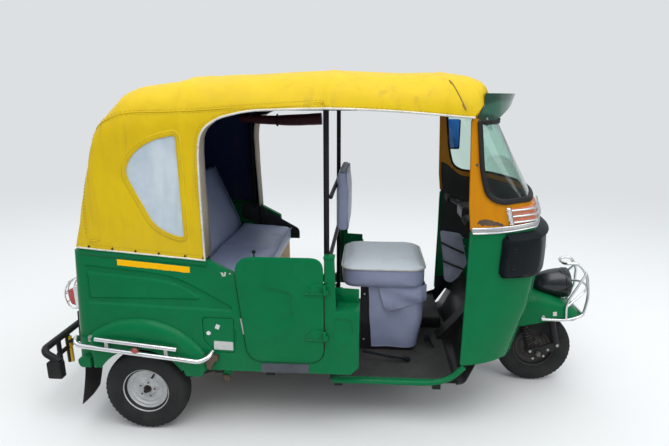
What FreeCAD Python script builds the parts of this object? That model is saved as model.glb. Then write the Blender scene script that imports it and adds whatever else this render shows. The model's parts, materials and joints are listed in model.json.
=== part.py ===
import FreeCAD, Part
import math
import os
import Sketcher
from FreeCAD import Vector

# Auto rickshaw, millimetres. X runs forward, Y to the left, Z up from the ground.
# Every length along X is measured from the rear axle; each piece is then placed by rear_axle_x,
# which puts the middle of the vehicle's length at the origin.

Sketch = Sketcher.Constraint

os.makedirs("parts", exist_ok=True)
doc = FreeCAD.newDocument("auto_rickshaw")
sheet = doc.addObject("Spreadsheet::Sheet", "Dims")

# Driving dimensions: name, value
SIZES = {
    "wheelbase": 2000,
    "rear_axle_x": -850,
    "tyre_radius": 203,
    "tyre_half_width": 52,
    "tyre_crown_half": 34,
    "tyre_wall_radius": 158,
    "bead_half_width": 33.7,
    "bead_radius": 107,
    "rim_radius": 116,
    "rim_half_width": 38,
    "rim_lip": 4,
    "rim_well_radius": 96,
    "rim_well_half": 22,
    "rim_disc_x": 4,
    "rim_disc_thick": 5,
    "hub_radius": 36,
    "nut_circle": 52,
    "nut_half": 8,
    "nut_height": 12,
    "nut_count": 5,
    "hub_out": 26,
    "hub_in": 30,
    "axle_radius": 15,
    "axle_end_radius": 10,
    "axle_end_length": 14,
    "running_gap": 0.05,
    "seat_gap": 0.3,
    "swing_gap": 6,

    "body_half_width": 610,
    "wall": 40,
    "skirt_z": 330,
    "belt_z": 900,
    "rear_wall_x": -345,
    "rear_lean": 59,
    "rear_corner": 90,
    "rear_corner_top": 40,
    "rear_wall": 30,
    "side_rear_x": -245,
    "arch_radius": 240,
    "fender_out": 35,
    "fender_front_x": 314,
    "fender_rear_x": -243,
    "fender_centre_x": -5,
    "fender_centre_z": 210,
    "fender_radius": 370,
    "fender_inset": 50,
    "fender_skin": 6,
    "fender_room": 300,

    "door_rear_low_x": 508,
    "door_rear_high_x": 455,
    "door_front_x": 861,
    "door_top_z": 894,
    "door_bottom_z": 384,
    "door_heel_round": 72,
    "door_toe_round": 75,
    "door_front_round": 60,
    "door_rear_round": 100,
    "door_dish_inset": 55,
    "door_dish_depth": 4,
    "door_proud": 10,
    "door_thick": 26,
    "door_lap": 5,
    "hinge_radius": 8,
    "hinge_pin_radius": 3,
    "hinge_high_z": 749,
    "hinge_low_z": 526,
    "hinge_half_length": 22,
    "belt_drop_x": 340,
    "belt_drop_z": 870,
    "belt_slope_x": 600,
    "belt_slope_z": 724,
    "side_front_x": 1022,
    "side_front_z": 739,
    "side_front_cut": 37,
    "post_block_x": 905,

    "flap_rear_x": 302,
    "flap_front_x": 445,
    "flap_low_z": 422,
    "flap_high_z": 592,
    "flap_recess": 10,
    "flap_thick": 8,
    "flap_round": 12,
    "flap_hinge_radius": 4,
    "flap_pin_radius": 1.5,

    "floor_z": 235,
    "floor_thick": 8,
    "cabin_floor_front_x": 880,
    "toe_board_top_z": 350,
    "cabin_floor_z": 330,
    "sill_radius": 14,
    "sill_front_z": 300,
    "cross_wide": 40,
    "cross_high": 35,
    "backbone_half": 45,
    "backbone_depth": 55,
    "backbone_rear_x": -60,

    "bench_front_x": 520,
    "bench_deck_z": 640,
    "bench_board": 12,
    "bench_rear_x": -200,
    "cushion_front_x": 545,
    "cushion_rear_x": 205,
    "cushion_top_z": 775,
    "back_low_x": 60,
    "back_lean_x": 155,
    "back_top_z": 1145,
    "back_thick": 120,
    "cushion_round": 28,

    "engine_length": 330,
    "engine_width": 420,
    "engine_height": 260,
    "engine_x": -170,

    "canopy_thick": 8,
    "canopy_rear_x": -246,
    "canopy_rear_z": 1453,
    "canopy_rear_top_x": -141,
    "canopy_chamfer_x": -68,
    "canopy_chamfer_z": 1553,
    "canopy_roof_x": 0,
    "canopy_roof_z": 1650,
    "canopy_crown_x": 850,
    "canopy_crown_z": 1706,
    "canopy_brow_z": 1686,
    "canopy_peak_z": 1602,
    "canopy_hem_z": 1492,
    "canopy_nose_length": 70,
    "canopy_nose_inset": 180,
    "canopy_corner": 60,
    "bow_radius": 10,
    "opening_edge_z": 1148,
    "opening_bend_z": 1480,
    "opening_top_z": 1530,
    "opening_round": 90,
    "window_rear_x": 8,
    "window_crown_x": 95,
    "window_front_x": 246,
    "window_heel_x": 120,
    "window_low_z": 972,
    "window_mid_z": 1240,
    "window_high_z": 1418,
    "window_round": 60,
    "window_corner": 20,

    "post_x": 862,
    "post_radius": 13,
    "post_top_z": 1520,
    "rail_z": 890,
    "rail_radius": 10,
    "rail_high_z": 1134,
    "rail_low_z": 862,
    "rail_step": 20,

    "seat_half": 250,
    "seat_low_z": 605,
    "seat_top_z": 755,
    "seat_round": 40,
    "base_half": 190,
    "skirt_low_z": 285,
    "skirt_thick": 22,
    "driver_back_low_z": 907,
    "driver_back_high_z": 1245,
    "driver_back_half": 220,
    "driver_back_thick": 65,

    "cowl_wall": 12,
    "cowl_low_z": 340,
    "cowl_arch_half": 330,
    "cowl_arch_z": 625,
    "screen_low_z": 1140,
    "screen_high_z": 1465,
    "upper_top_z": 1491.7,
    "glass_thick": 5,
    "glass_inset": 3,
    "housing_out": 34,
    "housing_low_z": 780,
    "housing_high_z": 975,
    "housing_inner_y": 235,
    "mask_out": 18,
    "mask_low_z": 700,
    "mask_half": 228,
    "indicator_out": 14,
    "indicator_low_z": 1035,
    "indicator_high_z": 1100,
    "indicator_inner_y": 250,
    "visor_low_z": 1456,
    "visor_high_z": 1592,
    "visor_thick": 5,
    "dash_low_z": 850,
    "dash_high_z": 985,
    "dash_half": 330,

    "steer_z": 970,
    "rake": 29,
    "stem_radius": 17,
    "head_radius": 34,
    "head_low_z": 500,
    "head_high_z": 800,
    "crown_z": 435,
    "fork_radius": 17,
    "fork_side": 95,
    "link_pivot_z": 258,
    "link_thick": 20,
    "strut_top_z": 425,
    "spring_radius": 19,
    "grip_z": 992,
    "grip_inner": 245,
    "grip_outer": 360,
    "bar_radius": 11,
    "grip_radius": 17,
    "guard_thick": 8,
    "mudguard_half": 125,
    "mudguard_low_rear_z": 370,
    "mudguard_low_front_z": 412,
    "mudguard_top_z": 533,
    "lamp_z": 588,
    "lamp_radius": 80,
    "lamp_back_radius": 26,
    "lamp_rim": 24,
    "lamp_bezel": 8,
    "lamp_recess": 10,
    "lamp_foot_radius": 14,
    "hoop_radius": 8,
    "hoop_top_z": 700,
    "hoop_top_half": 78,
    "hoop_low_z": 400,

    "guard_radius": 10,
    "side_guard_rear_x": -285,
    "side_guard_front_x": 300,
    "side_guard_rear_z": 460,
    "side_guard_front_z": 398,
    "rub_rear_x": -165,
    "rub_front_x": 195,
    "rub_rise": 42,
    "bumper_x": -552,
    "bumper_radius": 18,
    "bumper_high_z": 352,
    "bumper_low_z": 268,
    "bumper_end_x": -465,
    "bumper_end_z": 300,
    "bumper_bend": 40,
    "bumper_bar_radius": 12,
    "foot_rear_x": -528,
    "foot_front_x": -452,
    "foot_half_width": 22,
    "foot_low_z": 210,
    "bumper_strut_y": 330,
    "bumper_leg_z": 180,
    "tail_lamp_low_z": 590,
    "tail_lamp_high_z": 755,
    "tail_lamp_deep": 60,
    "lid_half": 300,
    "lid_low_z": 400,
    "lid_high_z": 720,
    "louvre_count": 5,
    "louvre_start": 95,
    "louvre_pitch": 34,
    "louvre_height": 9,
    "louvre_half": 190,
    "mudflap_x": -300,
    "mudflap_thick": 5,
    "mudflap_low_z": 130,
    "arm_pivot_x": 330,
    "arm_pivot_z": 280,
    "arm_height": 50,
    "mirror_low_z": 1250,
    "mirror_high_z": 1440,
    "mirror_half": 55,
    "mirror_thick": 24,
    "mirror_arm_radius": 6,
}

# Places of the cab's front end, given from the front axle so that they follow the wheelbase
FROM_FRONT_AXLE = {
    "steer_x": -400,
    "link_pivot_x": 96,
    "strut_top_x": -95,
    "strut_foot_x": -45,
    "grip_x": -470,
    "mudguard_rear_x": -152,
    "mudguard_front_x": 225,
    "mudguard_top_x": -15,
    "lamp_back_x": -22,
    "lamp_front_x": 168,
    "lamp_foot_x": 70,
    "hoop_front_x": 262,
    "mirror_x": -420,
    "toe_board_x": -560,
    "toe_board_top_x": -500,
    "sill_front_x": -508,
    "canopy_brow_x": -508,
    "canopy_front_x": -414,
    "canopy_hem_x": -503,
    "cowl_arch_x": -440,
    "screen_rear_x": -455,
    "housing_rear_x": -355,
    "indicator_rear_x": -317,
    "dash_rear_x": -240,
    "seat_front_x": -638,
    "base_front_x": -700,
    "skirt_front_x": -655,
    "seat_rear_x": -1086,
    "base_rear_x": -980,
    "skirt_rear_x": -940,
}
# Half widths and side places, given from the side of the body so that they follow its width
FROM_BODY_SIDE = {
    "rear_half_track": -33.5,
    "bench_half": -43,
    "cushion_half": -90,
    "canopy_front_half": -75,
    "canopy_top_half": -25,
    "post_half_gap": -160,
    "floor_half": -124.3,
    "cowl_half": -100,
    "side_guard_y": 62,
    "tail_lamp_inner_y": -185,
    "tail_lamp_outer_y": -95,
    "mudflap_inner_y": -170,
    "mudflap_outer_y": -4,
    "arm_inner_y": -170,
    "arm_outer_y": -125,
    "mirror_y": 5,
    "bumper_half": -70,
    "bumper_low_half": -190,
}
for word, ahead in FROM_FRONT_AXLE.items():
    SIZES[word] = SIZES["wheelbase"] + ahead
for word, beyond in FROM_BODY_SIDE.items():
    SIZES[word] = SIZES["body_half_width"] + beyond
for row, (word, value) in enumerate(SIZES.items(), start=1):
    sheet.set(f"A{row}", word)
    sheet.set(f"B{row}", str(value))
    sheet.setAlias(f"B{row}", word)
doc.recompute()


class Sizes:
    """Reads a named cell of the sheet."""

    def __getattr__(self, word):
        return float(sheet.get(word))


d = Sizes()


# Helpers for sketched pieces

def bound(expression):
    """Prefixes each named size in an expression with the sheet's name."""
    words = expression.replace("(", " ( ").replace(")", " ) ").split()
    out = []
    for word in words:
        plain = word.lstrip("-")
        sign = word[: len(word) - len(plain)]
        named = plain.replace("_", "").isalpha() and plain not in ("tan", "sin", "cos")
        out.append(sign + "Dims." + plain if named else word)
    return " ".join(out)


def worth(expression):
    """Value of an expression of named sizes."""
    quantity = sheet.evalExpression(bound(expression))
    return float(getattr(quantity, "Value", quantity))


def place(piece, x="rear_axle_x", y="0", z="0"):
    """Moves a finished piece from its drawing datum to its place on the vehicle."""
    for axis, expression in (("x", x), ("y", y), ("z", z)):
        piece.setExpression(f"Placement.Base.{axis}", bound(expression))


def sketch_on(body, plane, offset, loops):
    """Closed loops of straight lines whose corners are bound to named sizes."""
    sketch = body.newObject("Sketcher::SketchObject", body.Name + "_sketch")
    face = [f for f in body.Origin.OriginFeatures if f.Role == plane][0]
    sketch.AttachmentSupport = [(face, "")]
    sketch.MapMode = "FlatFace"
    sketch.setExpression("AttachmentOffset.Base.z", bound(offset))
    for loop in loops:
        first = sketch.GeometryCount
        corners = [Vector(worth(a), worth(b), 0) for a, b in loop]
        count = len(corners)
        for i in range(count):
            sketch.addGeometry(Part.LineSegment(corners[i], corners[(i + 1) % count]))
        for i in range(count):
            following = first + (i + 1) % count
            sketch.addConstraint(Sketch("Coincident", first + i, 2, following, 1))
        for i in range(count):
            for kind, expression in zip(("DistanceX", "DistanceY"), loop[i]):
                value = worth(expression)
                number = sketch.addConstraint(Sketch(kind, -1, 1, first + i, 1, value))
                sketch.setExpression(f"Constraints[{number}]", bound(expression))
    return sketch


def round_edges(body, feature, radius, chosen):
    """Rounds the edges that the test picks, by a named radius."""
    doc.recompute()
    names = []
    for number, edge in enumerate(feature.Shape.Edges):
        if chosen(edge):
            names.append(f"Edge{number + 1}")
    fillet = body.newObject("PartDesign::Fillet", body.Name + "_round")
    fillet.Base = (feature, names)
    fillet.setExpression("Radius", bound(radius))
    return fillet


def padded_piece(name, plane, offset, loops, length, symmetric=False):
    """A plate or profile of one outline, padded along its plane's normal."""
    body = doc.addObject("PartDesign::Body", name)
    sketch = sketch_on(body, plane, offset, loops)
    pad = body.newObject("PartDesign::Pad", name + "_pad")
    pad.Profile = sketch
    pad.setExpression("Length", bound(length))
    if symmetric:
        pad.Midplane = True
    place(body)
    return body, pad


def revolved_piece(name, profile, axis="H_Axis"):
    """A turned piece about the Y axis: profile corners are (along the axis, radius)."""
    body = doc.addObject("PartDesign::Body", name)
    sketch = sketch_on(body, "YZ_Plane", "0", [profile])
    turned = body.newObject("PartDesign::Revolution", name + "_turned")
    turned.Profile = sketch
    turned.ReferenceAxis = (sketch, [axis])
    turned.Angle = 360
    return body, turned


# Helpers for pieces made of exact curves

def finish_shape(name, shape):
    """A piece whose exact shape is made from the named sizes."""
    piece = doc.addObject("Part::Feature", name)
    piece.Shape = shape.removeSplitter()
    place(piece)
    return piece


def mirrored(shape):
    """The same shape on the other side of the vehicle."""
    return shape.mirror(Vector(0, 0, 0), Vector(0, 1, 0))


def pair(shape):
    """A right-hand shape together with its left-hand twin."""
    return Part.makeCompound([shape, mirrored(shape)])


def box(x0, x1, y0, y1, z0, z1):
    return Part.makeBox(x1 - x0, y1 - y0, z1 - z0, Vector(x0, y0, z0))


def rod(start, end, radius):
    """A round bar from one point to another."""
    way = end - start
    return Part.makeCylinder(radius, way.Length, start, way)


def prism(points, y0, y1):
    """An outline in the side view, given as (x, z) corners, across the vehicle."""
    corners = [Vector(x, y0, z) for x, z in points]
    face = Part.Face(Part.makePolygon(corners + corners[:1]))
    return face.extrude(Vector(0, y1 - y0, 0))


def corner_arc(before, corner, after, radius):
    """Start, middle and end of the tangent arc that rounds a corner."""
    back = (before - corner).normalize()
    ahead = (after - corner).normalize()
    half = back.getAngle(ahead) / 2
    reach = radius / math.tan(half)
    inward = (back + ahead).normalize()
    return corner + back * reach, corner + inward * (radius / math.sin(half) - radius), corner + ahead * reach


def bent_tube(points, radius, bend):
    """A round tube along straight runs joined by tangent bends."""
    route = [Vector(*p) for p in points]
    edges = []
    start = route[0]
    for before, corner, after in zip(route, route[1:], route[2:]):
        first, middle, last = corner_arc(before, corner, after, bend)
        edges.append(Part.makeLine(start, first))
        edges.append(Part.Arc(first, middle, last).toShape())
        start = last
    edges.append(Part.makeLine(start, route[-1]))
    circle = Part.Wire(Part.makeCircle(radius, route[0], (route[1] - route[0]).normalize()))
    return Part.Wire(edges).makePipeShell([circle], True, False)


def rounded_wire(rows):
    """A closed outline in the side view: each row is a corner's x and z and its rounding radius."""
    corners = [Vector(worth(x), 0, worth(z)) for x, z, rounding in rows]
    stretches = []
    for i, (x, z, rounding) in enumerate(rows):
        radius = worth(rounding)
        if radius > 0:
            following = corners[(i + 1) % len(rows)]
            stretches.append(corner_arc(corners[i - 1], corners[i], following, radius))
        else:
            stretches.append((corners[i], None, corners[i]))
    edges = []
    for i, (first, middle, last) in enumerate(stretches):
        if middle:
            edges.append(Part.Arc(first, middle, last).toShape())
        edges.append(Part.makeLine(last, stretches[(i + 1) % len(rows)][0]))
    return Part.Wire(edges)


def across(wire, y0, y1):
    """A side-view outline drawn right through from one y to another."""
    solid = Part.Face(wire).extrude(Vector(0, y1 - y0, 0))
    solid.translate(Vector(0, y0, 0))
    return solid


def fused(shapes):
    return shapes[0].multiFuse(shapes[1:]).removeSplitter()


# Wheels: a tyre and a pressed steel rim with its hub, the same at all three corners

TYRE = [
    ("-bead_half_width", "bead_radius"), ("-bead_half_width", "rim_radius + 1"),
    ("-tyre_half_width + 6", "rim_radius + 10"), ("-tyre_half_width", "tyre_wall_radius"),
    ("-tyre_half_width + 5", "tyre_radius - 12"), ("-tyre_crown_half", "tyre_radius"),
    ("tyre_crown_half", "tyre_radius"), ("tyre_half_width - 5", "tyre_radius - 12"),
    ("tyre_half_width", "tyre_wall_radius"), ("tyre_half_width - 6", "rim_radius + 10"),
    ("bead_half_width", "rim_radius + 1"), ("bead_half_width", "bead_radius"),
    ("rim_well_half", "rim_well_radius + 1"), ("-rim_well_half", "rim_well_radius + 1"),
]
RIM = [
    ("-rim_half_width", "rim_radius"), ("-rim_half_width + rim_lip", "rim_radius"),
    ("-rim_half_width + rim_lip", "bead_radius - 1"), ("-rim_well_half", "rim_well_radius"),
    ("rim_well_half", "rim_well_radius"), ("rim_half_width - rim_lip", "bead_radius - 1"),
    ("rim_half_width - rim_lip", "rim_radius"), ("rim_half_width", "rim_radius"),
    ("rim_half_width", "bead_radius - 6"), ("rim_well_half + 2", "rim_well_radius - 5"),
    ("rim_disc_x + rim_disc_thick", "rim_well_radius - 5"),
    ("rim_disc_x + rim_disc_thick", "hub_radius"), ("hub_out", "hub_radius"),
    ("hub_out", "axle_radius + running_gap"), ("-hub_in", "axle_radius + running_gap"),
    ("-hub_in", "hub_radius - 4"), ("rim_disc_x", "hub_radius - 4"),
    ("rim_disc_x", "rim_well_radius - 5"), ("-rim_well_half - 2", "rim_well_radius - 5"),
    ("-rim_half_width", "bead_radius - 6"),
]

# Wheel name, place along the vehicle, place across it, which way its outer face points
WHEELS = [
    ("rear_right", "rear_axle_x", "-rear_half_track", 180),
    ("rear_left", "rear_axle_x", "rear_half_track", 0),
    ("front", "rear_axle_x + wheelbase", "0", 0),
]


def add_nuts(body):
    """Five wheel nuts on the outer face of the disc, repeated round the hub."""
    face = "rim_disc_x + rim_disc_thick - 0.5"
    low = ("nut_circle - nut_half", "nut_circle + nut_half")
    sketch = sketch_on(body, "XZ_Plane", f"-( {face} )", [[("-nut_half", low[0]), ("nut_half", low[0]),
                                                          ("nut_half", low[1]), ("-nut_half", low[1])]])
    nut = body.newObject("PartDesign::Pad", body.Name + "_nut")
    nut.Profile = sketch
    nut.Reversed = True
    nut.setExpression("Length", bound("nut_height"))
    ring = body.newObject("PartDesign::PolarPattern", body.Name + "_nuts")
    ring.Originals = [nut]
    ring.Axis = (sketch, ["N_Axis"])
    ring.Angle = 360
    ring.setExpression("Occurrences", bound("nut_count"))
    return ring


def make_wheels():
    for name, x, y, turn in WHEELS:
        for kind, profile in (("tyre", TYRE), ("rim", RIM)):
            body, turned = revolved_piece(f"{name}_{kind}", profile)
            if kind == "rim":
                add_nuts(body)
            body.Placement.Rotation = FreeCAD.Rotation(Vector(0, 0, 1), turn)
            place(body, x, y, "tyre_radius")


# Lower body: two side walls with doorways, bulged fenders, a wrap-round rear wall

# Outline rows: x, z, rounding radius
SIDE = [
    ("side_rear_x", "skirt_z", "0"), ("side_front_x - side_front_cut", "skirt_z", "0"),
    ("side_front_x", "skirt_z + side_front_cut", "0"), ("side_front_x", "side_front_z", "0"),
    ("post_block_x + 10", "side_front_z + 6", "0"), ("post_block_x", "rail_z", "0"),
    ("door_front_x", "rail_z", "0"), ("belt_slope_x", "belt_slope_z", "0"),
    ("belt_drop_x", "belt_drop_z", "0"), ("belt_drop_x - 8", "belt_z", "0"),
    ("side_rear_x", "belt_z", "0"),
]
DOOR = [
    ("door_rear_low_x", "door_bottom_z", "door_heel_round"),
    ("door_front_x", "door_bottom_z", "door_toe_round"),
    ("door_front_x", "door_top_z", "door_front_round"),
    ("door_rear_high_x", "door_top_z", "door_rear_round"),
]
DOORWAY_TOP = [("door_front_x", "belt_z", "0"), ("door_rear_high_x", "belt_z", "0")]
FLAP = [
    ("flap_rear_x", "flap_low_z", "flap_round"), ("flap_front_x", "flap_low_z", "flap_round"),
    ("flap_front_x", "flap_high_z", "flap_round"), ("flap_rear_x", "flap_high_z", "flap_round"),
]


def grown(rows, margin):
    """A rounded outline in the side view, moved outwards all round by a margin."""
    return rounded_wire(rows).makeOffset2D(margin)


def hinge_x():
    return d.door_front_x + d.door_lap


def hinge_y():
    return -d.body_half_width - d.door_proud - d.hinge_radius


def fender_wire(inset, y):
    """The arch round the tyre in the side view, drawn in by an inset."""
    centre = Vector(d.fender_centre_x, y, d.fender_centre_z)
    radius = d.fender_radius - inset
    ends = []
    for x in (d.fender_rear_x + inset, d.fender_front_x - inset):
        rise = math.sqrt(radius ** 2 - (x - centre.x) ** 2)
        ends.append((Vector(x, y, d.skirt_z), Vector(x, y, centre.z + rise)))
    (rear_low, rear), (front_low, front) = ends
    top = Part.Arc(rear, centre + Vector(0, 0, radius), front).toShape()
    return Part.Wire([Part.makeLine(rear_low, rear), top, Part.makeLine(front, front_low),
                      Part.makeLine(front_low, rear_low)])


def make_side(name, sign):
    """One side wall: the right one also carries the flap recess and the door's hinge halves."""
    y_out = sign * d.body_half_width
    y_in = sign * (d.body_half_width - d.wall)
    wall = across(rounded_wire(SIDE), min(y_out, y_in), max(y_out, y_in))
    doorway = grown(DOOR[:2] + DOORWAY_TOP, d.door_lap)
    wall = wall.cut(across(doorway, -d.body_half_width, d.body_half_width))
    arch = Part.makeCylinder(d.arch_radius, 3 * d.wall, Vector(0, y_out - 1.5 * d.wall, d.tyre_radius),
                             Vector(0, 1, 0))
    wall = wall.cut(arch)
    if sign < 0:
        recess = grown(FLAP, d.swing_gap + 1)
        wall = wall.cut(across(recess, -d.body_half_width, -d.body_half_width + d.flap_recess))
        for z in (d.hinge_low_z, d.hinge_high_z):
            wall = wall.fuse(door_hinge(-1, z))
        wall = wall.fuse(flap_hinge(-1))
    finish_shape(name, wall)


def hinge_half(side, axis_x, axis_y, z, radius, pin_radius, face_y):
    """Half of an upright butt hinge with a leaf on its panel's face: side -1 is the fixed lower
    half with the pin, side 1 the moving upper half with the bore."""
    half = d.hinge_half_length
    length = half - d.seat_gap
    base = z - half if side < 0 else z
    foot = Vector(axis_x, axis_y, base)
    barrel = Part.makeCylinder(radius, length, foot)
    reach = 3 * radius
    x0 = axis_x if side < 0 else axis_x - reach
    knuckle = barrel.fuse(box(x0, x0 + reach, axis_y, face_y, base, base + length))
    if side < 0:
        return knuckle.fuse(Part.makeCylinder(pin_radius, 2 * half - 4 * d.seat_gap, foot))
    return knuckle.cut(Part.makeCylinder(pin_radius + d.running_gap, length, foot))


def door_hinge(side, z):
    face = -d.body_half_width if side < 0 else -d.body_half_width - d.door_proud
    return hinge_half(side, hinge_x(), hinge_y(), z, d.hinge_radius, d.hinge_pin_radius, face)


def flap_hinge(side):
    radius = d.flap_hinge_radius
    wall_face = -d.body_half_width
    face = wall_face if side < 0 else wall_face + d.flap_recess - d.flap_thick - d.seat_gap
    return hinge_half(side, d.flap_front_x + d.swing_gap, wall_face - radius - d.seat_gap,
                      (d.flap_low_z + d.flap_high_z) / 2, radius, d.flap_pin_radius, face)


def make_door():
    y_out = -d.body_half_width - d.door_proud
    panel = across(rounded_wire(DOOR), y_out, y_out + d.door_thick)
    panel = panel.cut(across(grown(DOOR, -d.door_dish_inset), y_out, y_out + d.door_dish_depth))
    for z in (d.hinge_low_z, d.hinge_high_z):
        panel = panel.fuse(door_hinge(1, z))
    finish_shape("door_right", panel)


def make_flap():
    y0 = -d.body_half_width + d.flap_recess - d.flap_thick - d.seat_gap
    flap = across(rounded_wire(FLAP), y0, y0 + d.flap_thick)
    finish_shape("filler_flap", flap.fuse(flap_hinge(1)))


def make_fenders():
    y_out = -d.body_half_width - d.fender_out
    wires = [fender_wire(0, -d.body_half_width), fender_wire(d.fender_inset, y_out)]
    bulge = Part.makeLoft(wires, True, True)
    centre = Vector(0, y_out + d.fender_skin, d.tyre_radius)
    room = Part.makeCylinder(d.fender_room, d.fender_out, centre, Vector(0, 1, 0))
    mouth = Part.makeCylinder(d.arch_radius, 2 * d.fender_out, centre - Vector(0, d.fender_out, 0),
                              Vector(0, 1, 0))
    finish_shape("fenders", pair(bulge.cut(room).cut(mouth)))


def rear_x(z):
    """Place of the leaning rear wall at a height."""
    share = (z - d.skirt_z) / (d.belt_z - d.skirt_z)
    return d.rear_wall_x + d.rear_lean * share


def rear_section(z, x, corner, inset):
    """U-shaped half outline of the rear wall, seen from above."""
    half = d.body_half_width - inset
    x = x + inset
    radius = corner - inset
    mid = radius * (1 - math.sqrt(0.5))
    return [
        Part.LineSegment(Vector(d.side_rear_x - 0.3, -half, z), Vector(x + radius, -half, z)),
        Part.Arc(Vector(x + radius, -half, z), Vector(x + mid, -half + mid, z), Vector(x, -half + radius, z)),
        Part.LineSegment(Vector(x, -half + radius, z), Vector(x, half - radius, z)),
        Part.Arc(Vector(x, half - radius, z), Vector(x + mid, half - mid, z), Vector(x + radius, half, z)),
        Part.LineSegment(Vector(x + radius, half, z), Vector(d.side_rear_x - 0.3, half, z)),
    ]


def closed_u(outer, inner):
    """Joins an outer and an inner open outline into one closed wall section."""
    a = outer[-1].EndPoint
    b = inner[-1].EndPoint
    c = inner[0].StartPoint
    e = outer[0].StartPoint
    edges = [g.toShape() for g in outer] + [Part.makeLine(a, b)]
    edges = edges + [g.toShape() for g in reversed(inner)] + [Part.makeLine(c, e)]
    return Part.Wire(Part.__sortEdges__(edges))


def rear_wall():
    wires = []
    for z, corner in ((d.skirt_z, d.rear_corner), (d.belt_z, d.rear_corner_top)):
        x = rear_x(z)
        wires.append(closed_u(rear_section(z, x, corner, 0), rear_section(z, x, corner, d.rear_wall)))
    return Part.makeLoft(wires, True, True)


def make_rear():
    wall = rear_wall()
    x0 = d.rear_wall_x - d.rear_corner
    x1 = d.rear_wall_x + d.rear_lean + d.rear_corner
    window = box(x0, x1, -d.lid_half, d.lid_half, d.lid_low_z, d.lid_high_z)
    gap = d.swing_gap
    lid_box = box(x0, x1, -d.lid_half + gap, d.lid_half - gap, d.lid_low_z + gap, d.lid_high_z - gap)
    lid = wall.common(lid_box)
    for i in range(int(d.louvre_count)):
        z = d.lid_low_z + d.louvre_start + i * d.louvre_pitch
        lid = lid.cut(box(x0, x1, -d.louvre_half, d.louvre_half, z, z + d.louvre_height))
    lamp = tail_lamp()
    panel = wall.cut(window)
    axis = lid_axis()
    reach = 2 * d.hinge_radius + d.swing_gap + 6
    for y in (-d.lid_half * 0.7, d.lid_half * 0.7):
        start = Vector(axis.x, y - d.hinge_half_length, axis.z)
        middle = Vector(axis.x, y, axis.z)
        fixed = rod(start, middle - Vector(0, d.seat_gap, 0), d.hinge_radius)
        fixed = fixed.fuse(box(axis.x, axis.x + reach, y - d.hinge_half_length, y - d.seat_gap,
                               axis.z, axis.z + d.hinge_radius).cut(lid_box))
        pin = rod(start, middle + Vector(0, d.hinge_half_length - 1, 0), d.hinge_pin_radius)
        panel = panel.fuse(fixed).fuse(pin)
        moving = rod(middle, middle + Vector(0, d.hinge_half_length, 0), d.hinge_radius)
        moving = moving.fuse(box(axis.x, axis.x + reach, y, y + d.hinge_half_length,
                                 axis.z - 2 * d.hinge_radius - d.swing_gap, axis.z - d.swing_gap))
        bore = rod(start, start + Vector(0, 3 * d.hinge_half_length, 0), d.hinge_pin_radius + d.running_gap)
        lid = lid.fuse(moving.cut(bore))
    finish_shape("rear_panel", panel)
    finish_shape("engine_lid", lid)
    finish_shape("tail_lamps", pair(lamp.cut(wall)))


def lid_axis():
    """Hinge line of the engine lid, just outside its upper edge."""
    return Vector(rear_x(d.lid_high_z) - d.hinge_radius - 2, 0, d.lid_high_z)


def tail_lamp():
    x1 = rear_x(d.tail_lamp_low_z) + 5
    x0 = x1 - d.tail_lamp_deep - 5
    lamp = box(x0, x1, -d.tail_lamp_outer_y, -d.tail_lamp_inner_y, d.tail_lamp_low_z, d.tail_lamp_high_z)
    edges = [e for e in lamp.Edges if e.BoundBox.XMax < x0 + 1]
    return lamp.makeFillet(15, edges)


# Floor and underframe

def make_floor():
    t = "floor_thick"
    loop = [
        ("bench_front_x + 1", "cabin_floor_z - floor_thick"),
        ("cabin_floor_front_x", "cabin_floor_z - floor_thick"), ("cabin_floor_front_x", f"floor_z - {t}"),
        ("toe_board_x", f"floor_z - {t}"), ("toe_board_top_x", "toe_board_top_z"),
        ("toe_board_top_x - 9", "toe_board_top_z"), ("toe_board_x - 4", "floor_z"),
        ("cabin_floor_front_x + floor_thick", "floor_z"),
        ("cabin_floor_front_x + floor_thick", "cabin_floor_z"),
        ("bench_front_x + 1", "cabin_floor_z"),
    ]
    body, pad = padded_piece("floor_pan", "XZ_Plane", "0", [loop], "floor_half * 2", True)
    doc.recompute()
    before = pad.Shape.Volume
    sketch = sketch_on(body, "XY_Plane", "cabin_floor_z", [])
    for sign in ("", "-"):
        where = (worth("post_x"), worth(f"{sign}post_half_gap"))
        ring = sketch.addGeometry(Part.Circle(Vector(*where, 0), Vector(0, 0, 1), d.post_radius + d.seat_gap))
        for kind, expression, value in (("DistanceX", "post_x", where[0]),
                                        ("DistanceY", f"{sign}post_half_gap", where[1])):
            number = sketch.addConstraint(Sketch(kind, -1, 1, ring, 3, value))
            sketch.setExpression(f"Constraints[{number}]", bound(expression))
        number = sketch.addConstraint(Sketch("Radius", ring, d.post_radius + d.seat_gap))
        sketch.setExpression(f"Constraints[{number}]", bound("post_radius + seat_gap"))
    holes = body.newObject("PartDesign::Pocket", "post_holes")
    holes.Profile = sketch
    holes.setExpression("Length", bound("floor_thick + 1"))
    doc.recompute()
    if holes.Shape.Volume >= before:
        raise RuntimeError("the post holes cut nothing")


def steer_point(z):
    """Point of the steering axis at a height."""
    return Vector(d.steer_x + (d.steer_z - z) * math.tan(math.radians(d.rake)), 0, z)


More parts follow.
